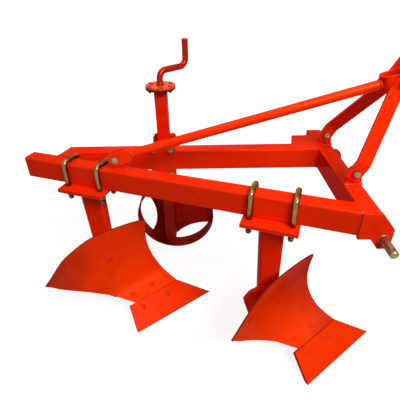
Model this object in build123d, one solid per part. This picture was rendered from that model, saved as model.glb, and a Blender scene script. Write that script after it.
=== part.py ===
from build123d import *
import math
import os
from bisect import bisect

os.makedirs("parts", exist_ok=True)

# Two-furrow mounted mouldboard plough.  +X is the way of travel, +Y is the left
# side, +Z is up.  The floor is the plane of the share edges (Z = 0).  While it is
# built, X = 0 is the rear face of the headstock beam and Y = 0 is midway between the
# lower hitch pins; at the end it moves so that the origin is the centre of its base.
ORIGIN_BACK = 378.0
ORIGIN_RIGHT = 33.0

# ---- frame tubes -------------------------------------------------------------
TUBE_HIGH = 70.0
TUBE_WIDE = 50.0
TUBE_WALL = 5.0
TUBE_CORNER = 6.0
FRAME_Z = 514.0
HEAD_LONG = 546.0
LEFT_REACH = 373.7
DIAGONAL_ANGLE = 19.5
DIAGONAL_LONG = 1020.0
DIAGONAL_EDGE_IN = 5.3
RETURN_REAR = 930.0
GUSSET_THICK = 8.0
GUSSET_LONG = 82.0
GUSSET_OUT = 68.0
GUSSET_SLANT = 16.0

# ---- lower hitch -------------------------------------------------------------
CHEEK_THICK = 10.0
PIN_DROP = 75.0
PIN_RADIUS = 11.0
PIN_REACH = 64.0
PIN_CHAMFER = 3.0
PIN_SHANK_RADIUS = 9.5
PIN_NUT_RADIUS = 14.0
PIN_NUT_LONG = 12.0
LYNCH_RADIUS = 3.0
PIN_FIT = 0.15

# ---- mast --------------------------------------------------------------------
MAST_LEAN = 29.1
MAST_SPLAY = 29.7
BAR_THICK = 8.0
BAR_WIDE = 41.0
BAR_BEND = 12.0
BAR_FOOT = 49.5
BAR_MIDDLE = 212.0
BAR_TOP = 125.0
FOOT_REAR_W = -17.7
FOOT_LOW_S = 23.3
FOOT_BOLT_UP = 19.4
MAST_CENTRE_Y = 3.0
TOP_GAP = 50.0
LUG_THICK = 10.0
TOP_HOLE_UP = 100.0
TOP_HOLE_RADIUS = 9.75
STRAP_THICK = 6.0
STRAP_HIGH = 45.0
STRAP_LONG = 84.0
STRAP_BACK = 45.4
BOLT_RADIUS = 6.0
BOLT_FIT = 0.25
HEAD_AF = 18.0
HEAD_HIGH = 7.5
NUT_HIGH = 10.0
TIE_UP = 24.3

# ---- brace -------------------------------------------------------------------
BRACE_RADIUS = 13.45
BRACE_WALL = 3.0
EAR_BACK = 690.9
EAR_ACROSS = 2.7
EAR_UP = 34.0
FORK_LONG = 40.0
FORK_HIGH = 40.0
FORK_PLATE = 6.0
FORK_TAIL = 22.0
EAR_THICK = 12.0

# ---- plough bodies (each about a clamp centre on the diagonal beam) ----------
BODY_FIRST = 215.5
BODY_STEP = 585.6
CLAMP_LONG = 155.0
CLAMP_WIDE = 130.0
CLAMP_THICK = 12.0
U_SPACING = 115.6
U_ROD = 8.0
U_CLEAR = 1.0
U_BEND = 16.0
U_BELOW = 34.0
U_NUT_AF = 24.0
U_NUT_HIGH = 14.0
LEG_LONG = 68.0
LEG_DEEP = 50.0
LEG_WALL = 8.0
LEG_CORNER = 9.0
LEG_FOOT_Z = 150.0
LEG_FOOT_LONG = 57.0
LEG_FOOT_FORWARD = 9.5
SHARE_THICK = 10.0
BOARD_THICK = 5.0
SEAM_GAP = 0.3
WEB_THICK = 12.0
LAND_Y = 35.5
LAND_THICK = 10.0

# share corners: name, x, y, z from the clamp point and the floor
SHARE_CORNERS = [
    ("heel_of_shin", 264.2, 35.5, 66.6),
    ("wing_top", 100.1, -90.3, 65.9),
    ("wing_edge", 132.4, -156.6, 0.0),
    ("point", 391.8, 35.5, 0.0),
]
# shin edge of the mouldboard: height above the floor, x, y
SHIN = [
    (40.0, 306.0, 12.0),
    (66.6, 263.4, 35.6),
    (80.0, 240.1, 48.0),
    (95.0, 220.2, 58.0),
    (112.0, 203.1, 64.3),
    (130.0, 191.3, 67.8),
    (150.0, 180.7, 69.7),
    (172.0, 171.1, 70.8),
    (196.0, 163.4, 71.2),
    (222.0, 158.0, 71.4),
    (250.0, 155.0, 71.5),
    (276.0, 155.0, 71.0),
    (304.0, 157.4, 69.2),
    (333.0, 160.9, 66.5),
    (365.0, 164.5, 63.5),
    (400.0, 168.5, 60.5),
]
# angle of the level lines of the mouldboard to the way of travel: height, degrees
SWEEP = [
    (30.0, 36.6),
    (67.0, 37.0),
    (130.0, 40.8),
    (200.0, 43.2),
    (270.0, 45.2),
    (340.0, 45.4),
    (410.0, 45.4),
]
# how far the face is dished between its edges, over what length, and the length of its lower seam
HOLLOW = 5.0
HOLLOW_SPAN = 350.0
BOARD_SEAM = 187.0
# outline of the mouldboard: distance back along the level line, height
BOARD_TOP = [
    (0.0, 333.0),
    (25.0, 342.5),
    (52.0, 349.0),
    (84.0, 355.5),
    (133.0, 364.0),
    (178.0, 370.0),
    (206.0, 371.5),
    (228.0, 369.5),
    (253.0, 364.5),
    (282.0, 355.5),
]
BOARD_WING = [
    (282.0, 355.5),
    (311.0, 343.5),
    (332.0, 326.0),
    (349.5, 308.0),
    (367.0, 291.0),
    (381.0, 279.5),
]
BOARD_LOW = [
    (381.0, 279.5),
    (362.0, 259.0),
    (342.0, 233.0),
    (321.0, 208.0),
    (300.0, 185.5),
    (279.0, 163.0),
    (256.0, 138.0),
    (229.0, 109.0),
    (207.0, 85.5),
]
# seats behind the mouldboard, in the same two measures
PAD = [(48, 76), (182, 76), (186, 110), (182, 246), (132, 246), (100, 150), (48, 106)]
PAD_THICK = 8.0
STAY_PAD = [(282, 264), (326, 264), (326, 304), (282, 304)]
STAY_PAD_THICK = 6.0
STAY_RADIUS = 8.0
STAY_BOSS = 5.0
STAY_OUT = 9.0
STAY_AT = (304.0, 283.5)
STAY_FOOT = (22.0, 172.0)

# ---- gauge wheel -------------------------------------------------------------
POST_X = -516.0
POST_WIDE = 40.0
POST_WALL = 5.0
POST_LOW = 169.0
POST_HIGH = 769.0
FLANGE_RADIUS = 47.5
FLANGE_THICK = 6.0
PLATE_THICK = 8.0
PLATE_EDGE = 13.0
PLATE_SIDE = 15.0
PLATE_CORNER_WIDE = 8.0
PLATE_CORNER_HIGH = 14.0
STACK_CLEAR = 1.0
WHEEL_X = -497.0
WHEEL_Z = 250.0
WHEEL_RADIUS = 152.0
WHEEL_WIDE = 57.0
RIM_THICK = 4.0
RIM_CLEAR = 6.0
DISC_THICK = 5.0
CUT_RADIUS = 163.0
CUT_AWAY = 241.0
HUB_RADIUS = 28.0
HUB_PAST_DISC = 16.0
HUB_GAP = 3.0
BRACKET_WIDE = 62.0
BRACKET_THICK = 8.0
BRACKET_HIGH = 56.0
AXLE_END = 14.0
AXLE_COLLAR = 8.0
AXLE_RADIUS = 10.0
AXLE_FIT = 0.08
SLOT_WIDE = 22.0
NECK_FIT = 1.0
NECK_HIGH = 40.0
BLOCK_FIT = 0.2
BLOCK_HIGH = 60.0
TRAVEL_UP = 85.0
TRAVEL_DOWN = 50.0
CRANK_RADIUS = 10.0
SCREW_FIT = 0.1
CRANK_ARM = 112.0
CRANK_TURN = 45.0
CRANK_ARM_UP = 54.0
CRANK_TOP_UP = 136.0
CRANK_BEND = 24.0
CRANK_COLLAR = 2.5

ANGLE = math.radians(DIAGONAL_ANGLE)
ALONG = Vector(-math.cos(ANGLE), math.sin(ANGLE), 0)
ACROSS = Vector(math.sin(ANGLE), math.cos(ANGLE), 0)
CORNER = Vector(0, DIAGONAL_EDGE_IN - HEAD_LONG / 2, 0)
left_inner_y = CORNER.Y + LEFT_REACH
UP = Vector(0, 0, 1)
BEAM_MID_Z = FRAME_Z + TUBE_HIGH / 2
FRAME_TOP = FRAME_Z + TUBE_HIGH
U_LEG = TUBE_WIDE / 2 + U_ROD + U_CLEAR
nodes = {}


def beyond(point, normal):
    """A very large block on the far side of a plane, to cut with."""
    size = 4000.0
    plane = Plane(origin=Vector(*point), z_dir=Vector(*normal))
    return plane * Pos(0, 0, size / 2) * Box(size, size, size)


def prism(plane, points, depth):
    """A flat outline on a plane, made solid along the plane's normal."""
    outline = plane * Polygon(*points, align=None)
    return extrude(outline, amount=abs(depth), dir=plane.z_dir * math.copysign(1, depth))


def upright(points, y, depth):
    """An outline of (x, z) points, standing at y and made solid toward +Y."""
    plane = Plane(origin=(0, y, 0), x_dir=(1, 0, 0), z_dir=(0, -1, 0))
    return extrude(plane * Polygon(*points, align=None), amount=depth, dir=(0, 1, 0))


def rod(start, end, radius):
    """A round bar from one point to another."""
    start = Vector(*start)
    end = Vector(*end)
    plane = Plane(origin=start, z_dir=end - start)
    return extrude(plane * Circle(radius), amount=(end - start).length)


def hexagon(start, axis, flats, length):
    """A hexagon bar from a point along an axis."""
    plane = Plane(origin=Vector(*start), z_dir=Vector(*axis))
    shape = RegularPolygon(flats / math.sqrt(3), 6)
    return extrude(plane * shape, amount=length)


def beam(start, direction, length):
    """A hollow frame tube, from the middle of its section."""
    side = UP.cross(direction)
    plane = Plane(origin=start, x_dir=side, z_dir=direction)
    outer = RectangleRounded(TUBE_WIDE, TUBE_HIGH, TUBE_CORNER)
    inner = RectangleRounded(
        TUBE_WIDE - 2 * TUBE_WALL, TUBE_HIGH - 2 * TUBE_WALL, TUBE_CORNER - TUBE_WALL
    )
    return extrude(plane * (outer - inner), amount=length)


def bolt(head, axis, reach, radius=BOLT_RADIUS, flats=HEAD_AF, nut=True):
    """A hexagon bolt: head outside the point, shank along the axis, nut beyond."""
    head = Vector(*head)
    axis = Vector(*axis)
    made = rod(head, head + axis * (reach + NUT_HIGH + 4), radius)
    made += hexagon(head - axis * HEAD_HIGH, axis, flats, HEAD_HIGH)
    if nut:
        made += hexagon(head + axis * reach, axis, flats, NUT_HIGH)
    return made


# ---- frame -------------------------------------------------------------------
half = HEAD_LONG / 2
nodes["head_beam"] = beam(
    Vector(TUBE_WIDE / 2, -half + CHEEK_THICK, BEAM_MID_Z),
    Vector(0, 1, 0),
    HEAD_LONG - 2 * CHEEK_THICK,
)

diagonal_mid = CORNER + ACROSS * (TUBE_WIDE / 2) + UP * BEAM_MID_Z
diagonal = beam(diagonal_mid - ALONG * 60, ALONG, DIAGONAL_LONG + 60)
nodes["diagonal_beam"] = diagonal - beyond((0, 0, 0), (1, 0, 0))

left_mid_y = left_inner_y + TUBE_WIDE / 2
left_outer_y = left_inner_y + TUBE_WIDE


def on_return(distance, y):
    """The point on a line across the diagonal at a distance back and a given y."""
    across = (y - CORNER.Y - distance * ALONG.Y) / ACROSS.Y
    return CORNER + ALONG * distance + ACROSS * across


elbow_out = on_return(RETURN_REAR, left_outer_y)
elbow_in = on_return(RETURN_REAR - TUBE_WIDE, left_inner_y)
mitre = elbow_out - elbow_in
mitre_normal = Vector(-mitre.Y, mitre.X, 0).normalized()
if mitre_normal.X > 0:
    mitre_normal = mitre_normal * -1
straight = beam(Vector(0, left_mid_y, BEAM_MID_Z), Vector(-1, 0, 0), 1000)
straight -= beyond(elbow_in, mitre_normal)
turn_mid = CORNER + ALONG * (RETURN_REAR - TUBE_WIDE / 2) + UP * BEAM_MID_Z
turned = beam(turn_mid + ACROSS * TUBE_WIDE, ACROSS, 240)
turned -= beyond(elbow_in, mitre_normal * -1)
nodes["left_beam"] = straight + turned

# ---- headstock details ---------------------------------------------------------
gusset_plane = Plane.XY.offset(FRAME_TOP - GUSSET_THICK)
nodes["corner_gusset"] = prism(
    gusset_plane,
    [
        (0, left_outer_y),
        (0, left_outer_y + GUSSET_OUT),
        (-GUSSET_LONG + GUSSET_SLANT, left_outer_y + GUSSET_OUT),
        (-GUSSET_LONG, left_outer_y),
    ],
    GUSSET_THICK,
)

# outlines of the plates: x, height from the top of the frame
CHEEK = [(0, 0), (48, 0), (86, -46), (87, -92), (73, -107), (56, -107), (32, -76), (0, -76)]
NOSE = [(0, 0), (8, -1), (17, -9), (22, -22), (22, -40), (14, -52), (0, -58)]
LUG = [(4, 0), (4, 24), (13, 42), (29, 52), (38, 47), (45, 25), (48, 0)]
EAR = [(-30, 0), (-22, 34), (-12, 47), (8, 49), (20, 38), (30, 0)]
NOSE_IN = 12.0
pin_x = TUBE_WIDE + PIN_NUT_RADIUS
pin_z = FRAME_TOP - PIN_DROP
SIDES = [("right", -1.0), ("left", 1.0)]
for side, sign in SIDES:
    outer_y = sign * half
    inner_y = outer_y - sign * CHEEK_THICK
    low_y = min(outer_y, inner_y)
    cheek = upright([(x, z + FRAME_TOP) for x, z in CHEEK], low_y, CHEEK_THICK)
    hole = rod(
        (pin_x, low_y - 5, pin_z), (pin_x, low_y + 15, pin_z), PIN_SHANK_RADIUS + PIN_FIT
    )
    nodes["cheek_" + side] = cheek - hole
    end_y = outer_y + sign * PIN_REACH
    pin = rod((pin_x, outer_y, pin_z), (pin_x, end_y, pin_z), PIN_RADIUS)
    pin = chamfer(pin.faces().sort_by(Axis.Y)[-1 if sign > 0 else 0].edges(), PIN_CHAMFER)
    nut_y = inner_y - sign * PIN_NUT_LONG
    pin += rod((pin_x, nut_y, pin_z), (pin_x, outer_y, pin_z), PIN_SHANK_RADIUS)
    pin += rod((pin_x, nut_y, pin_z), (pin_x, inner_y, pin_z), PIN_NUT_RADIUS)
    lynch_y = end_y - sign * 12
    pin -= rod((pin_x, lynch_y, pin_z - 20), (pin_x, lynch_y, pin_z + 20), LYNCH_RADIUS)
    nodes["hitch_pin_" + side] = pin

nodes["front_lug"] = upright(
    [(x + TUBE_WIDE, z + FRAME_TOP) for x, z in NOSE], left_inner_y - NOSE_IN, CHEEK_THICK
)

# ---- mast ----------------------------------------------------------------------
lean = math.radians(MAST_LEAN)
splay = math.radians(MAST_SPLAY)
W_DIR = Vector(math.cos(lean), 0, -math.sin(lean))
S_DIR = Vector(math.sin(lean), 0, math.cos(lean))


def mast_point(w, s, y):
    """A point from the mast's own slanted coordinates."""
    slanted = W_DIR * w + S_DIR * s
    return Vector(slanted.X, y, slanted.Z + FRAME_TOP)


middle_s = BAR_MIDDLE * math.cos(splay)
middle_y = BAR_MIDDLE * math.sin(splay)
bend_low = FOOT_LOW_S + BAR_FOOT
bend_high = bend_low + middle_s
bar_top = bend_high + BAR_TOP
centre_w = FOOT_REAR_W + BAR_WIDE / 2
top_mid = TOP_GAP / 2 + BAR_THICK / 2
foot_mid = top_mid + middle_y
bolt_s = FOOT_LOW_S + FOOT_BOLT_UP
hole_s = bend_high + TOP_HOLE_UP
tie_s = bend_high + TIE_UP
tie = mast_point(centre_w, tie_s, 0)
FAR = 400.0

for side, sign in SIDES:
    foot_y = MAST_CENTRE_Y + sign * foot_mid
    top_y = MAST_CENTRE_Y + sign * top_mid
    bar_plane = Plane(origin=mast_point(FOOT_REAR_W, 0, 0), x_dir=S_DIR, z_dir=W_DIR)
    # on this plane the first coordinate runs up the bar and the second runs toward -Y
    flip = bar_plane.y_dir.Y
    path = FilletPolyline(
        (FOOT_LOW_S, flip * foot_y),
        (bend_low, flip * foot_y),
        (bend_high, flip * top_y),
        (bar_top, flip * top_y),
        radius=BAR_BEND,
    )
    bar = extrude(bar_plane * trace(path, BAR_THICK), amount=BAR_WIDE)
    for s, radius in (
        (bolt_s, BOLT_RADIUS + BOLT_FIT),
        (tie_s, BOLT_RADIUS + BOLT_FIT),
        (hole_s, TOP_HOLE_RADIUS),
    ):
        middle = mast_point(centre_w, s, 0)
        bar -= rod((middle.X, -FAR, middle.Z), (middle.X, FAR, middle.Z), radius)
    nodes["mast_bar_" + side] = bar
    lug_low = foot_y + BAR_THICK / 2
    lug = upright([(x, z + FRAME_TOP) for x, z in LUG], lug_low, LUG_THICK)
    middle = mast_point(centre_w, bolt_s, 0)
    lug -= rod((middle.X, -FAR, middle.Z), (middle.X, FAR, middle.Z), BOLT_RADIUS + BOLT_FIT)
    nodes["mast_lug_" + side] = lug
    nodes["mast_foot_bolt_" + side] = bolt(
        (middle.X, foot_y - BAR_THICK / 2, middle.Z), (0, 1, 0), BAR_THICK + LUG_THICK
    )

# ---- brace ---------------------------------------------------------------------
brace_rear = CORNER + ALONG * EAR_BACK + ACROSS * (TUBE_WIDE / 2 + EAR_ACROSS)
brace_rear += UP * (FRAME_TOP + EAR_UP)
flat_dir = Vector(tie.X - brace_rear.X, 0, tie.Z - brace_rear.Z).normalized()
brace_front = Vector(tie.X, MAST_CENTRE_Y, tie.Z) - flat_dir * STRAP_BACK
brace_dir = (brace_front - brace_rear).normalized()
strap_plane = Plane(
    origin=brace_front, x_dir=flat_dir, z_dir=Vector(-flat_dir.Z, 0, flat_dir.X)
)
strap_half = TOP_GAP / 2 - STRAP_THICK / 2
side_sign = strap_plane.y_dir.Y
strap_path = FilletPolyline(
    (STRAP_LONG, -strap_half),
    (STRAP_THICK / 2, -strap_half),
    (STRAP_THICK / 2, strap_half),
    (STRAP_LONG, strap_half),
    radius=strap_half - 4,
)
strap = extrude(
    strap_plane.offset(-STRAP_HIGH / 2) * trace(strap_path, STRAP_THICK), amount=STRAP_HIGH
)
strap -= rod((tie.X, -FAR, tie.Z), (tie.X, FAR, tie.Z), BOLT_RADIUS + BOLT_FIT)
nodes["mast_strap"] = strap
outside = top_mid + BAR_THICK / 2
nodes["mast_tie_bolt"] = bolt(
    (tie.X, MAST_CENTRE_Y - outside, tie.Z), (0, 1, 0), 2 * outside
)

tube_start = brace_rear + brace_dir * FORK_LONG
brace = rod(tube_start, brace_front, BRACE_RADIUS)
brace -= rod(tube_start - brace_dir * 5, brace_front + brace_dir * 5, BRACE_RADIUS - BRACE_WALL)
fork_plane = Plane(origin=brace_rear, x_dir=flat_dir, z_dir=(0, -1, 0))
tine_out = EAR_THICK / 2 + SEAM_GAP + FORK_PLATE
fork = extrude(
    fork_plane.offset(-tine_out)
    * Pos((FORK_LONG + 10 - FORK_TAIL) / 2, 0)
    * RectangleRounded(FORK_LONG + 10 + FORK_TAIL, FORK_HIGH, 14),
    amount=2 * tine_out,
)
fork -= extrude(
    fork_plane.offset(-tine_out + FORK_PLATE)
    * Pos((FORK_LONG - 14 - FORK_TAIL) / 2 - 10, 0)
    * Rectangle(FORK_LONG - 14 + FORK_TAIL + 20, FORK_HIGH + 10),
    amount=2 * (tine_out - FORK_PLATE),
)
fork -= rod(
    brace_rear + Vector(0, -50, 0), brace_rear + Vector(0, 50, 0), BOLT_RADIUS + BOLT_FIT
)
brace -= beyond(brace_front - flat_dir * SEAM_GAP, flat_dir)
nodes["brace"] = brace + fork

ear_outline = [(x + brace_rear.X, z + FRAME_TOP) for x, z in EAR]
ear = upright(ear_outline, brace_rear.Y - EAR_THICK / 2, EAR_THICK)
ear -= rod(brace_rear + Vector(0, -50, 0), brace_rear + Vector(0, 50, 0), BOLT_RADIUS + BOLT_FIT)
nodes["brace_ear"] = ear
nodes["brace_bolt"] = bolt(
    brace_rear + Vector(0, -tine_out, 0), (0, 1, 0), 2 * tine_out
)

# ---- plough bodies ---------------------------------------------------------------


def smooth(points):
    """A smooth reading of a table of (key, value) points."""
    curve = Spline(*[(value, 0, key) for key, value in points])
    samples = [curve @ (i / 400) for i in range(401)]
    keys = [sample.Z for sample in samples]

    def read(key):
        place = min(max(bisect(keys, key), 1), 400)
        low, high = samples[place - 1], samples[place]
        return low.X + (high.X - low.X) * (key - low.Z) / (high.Z - low.Z)

    return read


shin_x = smooth([(z, x) for z, x, y in SHIN])
shin_y = smooth([(z, y) for z, x, y in SHIN])
sweep_at = smooth(SWEEP)


def board_point(s, z, behind=0.0):
    """A point of the mouldboard: back along the level line at a height, and behind."""
    sweep = math.radians(sweep_at(z))
    share = s / HOLLOW_SPAN
    dish = HOLLOW * 4 * share * (1 - share)
    x = shin_x(z) - s * math.cos(sweep) - dish * math.sin(sweep)
    y = shin_y(z) - s * math.sin(sweep) + dish * math.cos(sweep)
    point = Vector(x, y, z)
    if behind == 0.0:
        return point
    along = board_point(s + 2, z) - board_point(s - 2, z)
    rise = board_point(s, z + 2) - board_point(s, z - 2)
    normal = along.cross(rise).normalized()
    if normal.X < 0:
        normal = normal * -1
    return point - normal * behind


def face_sheet():
    """The mouldboard's working face, a little larger than its outline."""
    rows = []
    for z in [44.0 + 22.0 * i for i in range(17)]:
        rows.append([board_point(s, z) for s in range(-40, 440, 40)])
    return Face.make_surface_from_array_of_points(rows, tol=0.05, min_deg=3, max_deg=5)


def thickened(face, thick, behind):
    """A face made thick toward the back of the mouldboard."""
    layer = Solid.thicken(face, thick)
    if layer.is_inside(board_point(160, 220, behind + thick / 2)):
        return layer
    return Solid.thicken(face, -thick)


def skin(behind, thick):
    """A layer of the mouldboard's shape, starting behind the face and going back."""
    face = face_sheet()
    if behind > 0:
        spacer = thickened(face, behind, 0)
        wide = spacer.faces().sort_by(SortBy.AREA)[-2:]
        face = wide.sort_by(Axis.Y)[-1]
    return thickened(face, thick, behind)


def web_front(y, behind):
    """The (x, z) line where a layer behind the mouldboard meets a plane of fixed y."""
    line = []
    for z in [78.0 + 17.0 * i for i in range(11)]:
        low, high = 0.0, 300.0
        for _ in range(30):
            mid = (low + high) / 2
            if board_point(mid, z, behind).Y > y:
                low = mid
            else:
                high = mid
        point = board_point(low, z, behind)
        line.append((point.X, point.Z))
    return line


corners = {name: Vector(x, y, z) for name, x, y, z in SHARE_CORNERS}
shin_low = corners["heel_of_shin"]
face_u = (corners["wing_top"] - shin_low).normalized()
face_n = face_u.cross(corners["point"] - shin_low).normalized()
if face_n.Z < 0:
    face_n = face_n * -1
share_plane = Plane(origin=shin_low, x_dir=face_u, z_dir=face_n)
toward_point = math.copysign(1, share_plane.to_local_coords(corners["point"]).Y)


def share_solid():
    """The share: a flat plate whose underside is ground off level at the floor."""
    outline = [share_plane.to_local_coords(corners[name]) for name, *_ in SHARE_CORNERS]
    plate = prism(share_plane, [(point.X, point.Y) for point in outline], -SHARE_THICK)
    plate -= beyond((0, 0, 0), (0, 0, -1))
    return plate - beyond((0, LAND_Y, 0), (0, 1, 0))


SIDE_VIEW = Plane(
    origin=(500 * math.sin(math.radians(43)), -500 * math.cos(math.radians(43)), 0),
    x_dir=(math.cos(math.radians(43)), math.sin(math.radians(43)), 0),
    z_dir=(math.sin(math.radians(43)), -math.cos(math.radians(43)), 0),
)


def flat(point):
    """Where a point falls on the plane the mouldboard's outlines are cut from."""
    local = SIDE_VIEW.to_local_coords(point)
    return (local.X, local.Y)


def cut_out(outline):
    """A long level prism with an outline given in the mouldboard's own (s, z)."""
    points = [flat(board_point(s, z)) for s, z in outline]
    return prism(SIDE_VIEW, points, -1200)


def board_solid():
    """The mouldboard: a dished sheet, cut to its outline and to the share's edge."""
    seam_end = shin_low + face_u * (BOARD_SEAM - 1)
    top = Spline(*[flat(board_point(s, z)) for s, z in BOARD_TOP])
    wing = Spline(*[flat(board_point(s, z)) for s, z in BOARD_WING])
    low = Spline(*[flat(board_point(s, z)) for s, z in BOARD_LOW], flat(seam_end))
    shin = Spline(*[flat(board_point(0, z)) for z in range(45, 333, 16)], top @ 0)
    under = Polyline(low @ 1, ((low @ 1).X, (shin @ 0).Y), shin @ 0)
    outline = make_face([top, wing, low, under, shin])
    back = SIDE_VIEW.z_dir * -1
    board = skin(0.0, BOARD_THICK) & extrude(SIDE_VIEW * outline, amount=1200, dir=back)
    # the lower edge stands just clear of the share's upper edge
    edge_dir = face_u.cross(face_n)
    if edge_dir.Z > 0:
        edge_dir = edge_dir * -1
    return board - beyond(shin_low - edge_dir * SEAM_GAP, edge_dir)


# upright plates of a body: x, height above the floor
WEB = [(-44, 252), (-61, 221), (-40, 150), (-28, 66), (10, 34), (80, 14), (286, 8), (184, 61)]
WEB_TOP = [(52, 266), (30, 270), (-30, 262)]
LANDSIDE = [(-34, 0), (-34, 40), (-26, 72), (190, 72), (226, 60), (336, 4), (336, 0)]


web_low = TUBE_WIDE / 2 * ACROSS.Y - LEG_DEEP / 2 - WEB_THICK


def frog_solid():
    """The frog: an upright web with a seat under the share and a landside block."""
    front = web_front(web_low, BOARD_THICK + SEAM_GAP)
    web = upright(WEB + front + WEB_TOP, web_low, WEB_THICK)
    web -= beyond(shin_low - face_n * (SHARE_THICK + SEAM_GAP), face_n) & Box(900, 600, 130)
    seat_plane = share_plane.offset(-SHARE_THICK - SEAM_GAP)
    near, deep = 6 * toward_point, 52 * toward_point
    seat = prism(seat_plane, [(20, near), (176, near), (176, deep), (20, deep)], -9)
    block_low = web_low + WEB_THICK
    block = Pos(90, (block_low + LAND_Y - LAND_THICK) / 2, 34) * Box(
        150, LAND_Y - LAND_THICK - block_low, 40
    )
    pad = skin(BOARD_THICK + SEAM_GAP, PAD_THICK) & cut_out(PAD)
    frog = web + seat + block - skin(0.0, BOARD_THICK + SEAM_GAP / 2) + pad
    return frog - beyond((0, LAND_Y - LAND_THICK, 0), (0, 1, 0))


share = share_solid()
board = board_solid()
frog = frog_solid()
stay_pad = skin(BOARD_THICK + SEAM_GAP, STAY_PAD_THICK) & cut_out(STAY_PAD)
stay_end = board_point(*STAY_AT, BOARD_THICK + SEAM_GAP + STAY_PAD_THICK - 2)
stay_start = Vector(STAY_FOOT[0], web_low - STAY_OUT, STAY_FOOT[1])
stay = rod(stay_start, stay_end, STAY_RADIUS) - skin(0.0, BOARD_THICK + SEAM_GAP / 2)
stay += stay_pad
stay += rod(stay_start, (STAY_FOOT[0], web_low, STAY_FOOT[1]), STAY_RADIUS + STAY_BOSS)
landside = upright(LANDSIDE, LAND_Y - LAND_THICK, LAND_THICK)
landside -= beyond(shin_low - face_n * (SHARE_THICK + SEAM_GAP), face_n)

BODIES = [("front", BODY_FIRST), ("rear", BODY_FIRST + BODY_STEP)]
for name, distance in BODIES:
    foot = CORNER + ALONG * distance
    centre = foot + ACROSS * (TUBE_WIDE / 2)
    place = Pos(foot.X, foot.Y, 0)
    square = Plane(origin=centre + UP * FRAME_Z, x_dir=ALONG * -1, z_dir=UP)
    plate = extrude(square * Rectangle(CLAMP_LONG, CLAMP_WIDE), amount=-CLAMP_THICK)
    for along in (-U_SPACING / 2, U_SPACING / 2):
        for across in (-U_LEG, U_LEG):
            drill = square * Pos(along, across, 0) * Cylinder(U_ROD + 0.5, 100)
            plate -= drill
    nodes["clamp_plate_" + name] = plate
    leg_high = FRAME_Z - CLAMP_THICK - LEG_FOOT_Z
    top_plane = Plane(origin=(centre.X, centre.Y, FRAME_Z - CLAMP_THICK))
    foot_plane = Plane(origin=(centre.X + LEG_FOOT_FORWARD, centre.Y, LEG_FOOT_Z))
    leg = loft(
        [
            foot_plane * RectangleRounded(LEG_FOOT_LONG, LEG_DEEP, LEG_CORNER),
            top_plane * RectangleRounded(LEG_LONG, LEG_DEEP, LEG_CORNER),
        ]
    )
    bore = 2 * LEG_WALL
    leg -= loft(
        [
            foot_plane * RectangleRounded(LEG_FOOT_LONG - bore, LEG_DEEP - bore, 2),
            top_plane * RectangleRounded(LEG_LONG - bore, LEG_DEEP - bore, 2),
        ]
    )
    nodes["leg_" + name] = leg
    for end, along in (("fore", U_SPACING / 2), ("aft", -U_SPACING / 2)):
        crown = TUBE_HIGH + 1 + U_ROD
        rod_plane = Plane(
            origin=centre + UP * FRAME_Z - ALONG * along, x_dir=ACROSS, z_dir=ALONG * -1
        )
        rise = rod_plane.y_dir.Z
        path = FilletPolyline(
            (-U_LEG, -rise * (CLAMP_THICK + U_BELOW)),
            (-U_LEG, rise * crown),
            (U_LEG, rise * crown),
            (U_LEG, -rise * (CLAMP_THICK + U_BELOW)),
            radius=U_BEND,
        )
        wire = rod_plane * path
        start = wire @ 0
        ubolt = sweep(Plane(origin=start, z_dir=wire % 0) * Circle(U_ROD), path=wire)
        for across in (-U_LEG, U_LEG):
            seat_at = centre + UP * (FRAME_Z - CLAMP_THICK) - ALONG * along + ACROSS * across
            ubolt += hexagon(seat_at, (0, 0, -1), U_NUT_AF, U_NUT_HIGH)
        nodes["u_bolt_" + name + "_" + end] = ubolt
    nodes["share_" + name] = place * share
    nodes["mouldboard_" + name] = place * board
    nodes["frog_" + name] = place * frog
    nodes["landside_" + name] = place * landside
    nodes["stay_" + name] = place * stay

# ---- gauge wheel -----------------------------------------------------------------
post_y = left_outer_y + POST_WIDE / 2
post = Pos(POST_X, post_y, (POST_LOW + POST_HIGH) / 2) * (
    Box(POST_WIDE, POST_WIDE, POST_HIGH - POST_LOW)
    - Box(POST_WIDE - 2 * POST_WALL, POST_WIDE - 2 * POST_WALL, POST_HIGH - POST_LOW + 2)
)
slot_low = WHEEL_Z - NECK_HIGH / 2 - TRAVEL_DOWN - 2
slot_high = WHEEL_Z + NECK_HIGH / 2 + TRAVEL_UP + 2
post -= Pos(POST_X, post_y + POST_WIDE / 2, (slot_low + slot_high) / 2) * Box(
    SLOT_WIDE, 3 * POST_WALL, slot_high - slot_low
)
post += Pos(POST_X, post_y, POST_HIGH + FLANGE_THICK / 2) * (
    Cylinder(FLANGE_RADIUS, FLANGE_THICK) - Cylinder(CRANK_RADIUS + 3, FLANGE_THICK + 2)
)
nodes["wheel_post"] = post
cap = Pos(POST_X, post_y, POST_HIGH + 1.5 * FLANGE_THICK) * (
    Cylinder(FLANGE_RADIUS, FLANGE_THICK) - Cylinder(CRANK_RADIUS + SCREW_FIT, FLANGE_THICK + 2)
)
nodes["post_cap"] = cap

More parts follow.
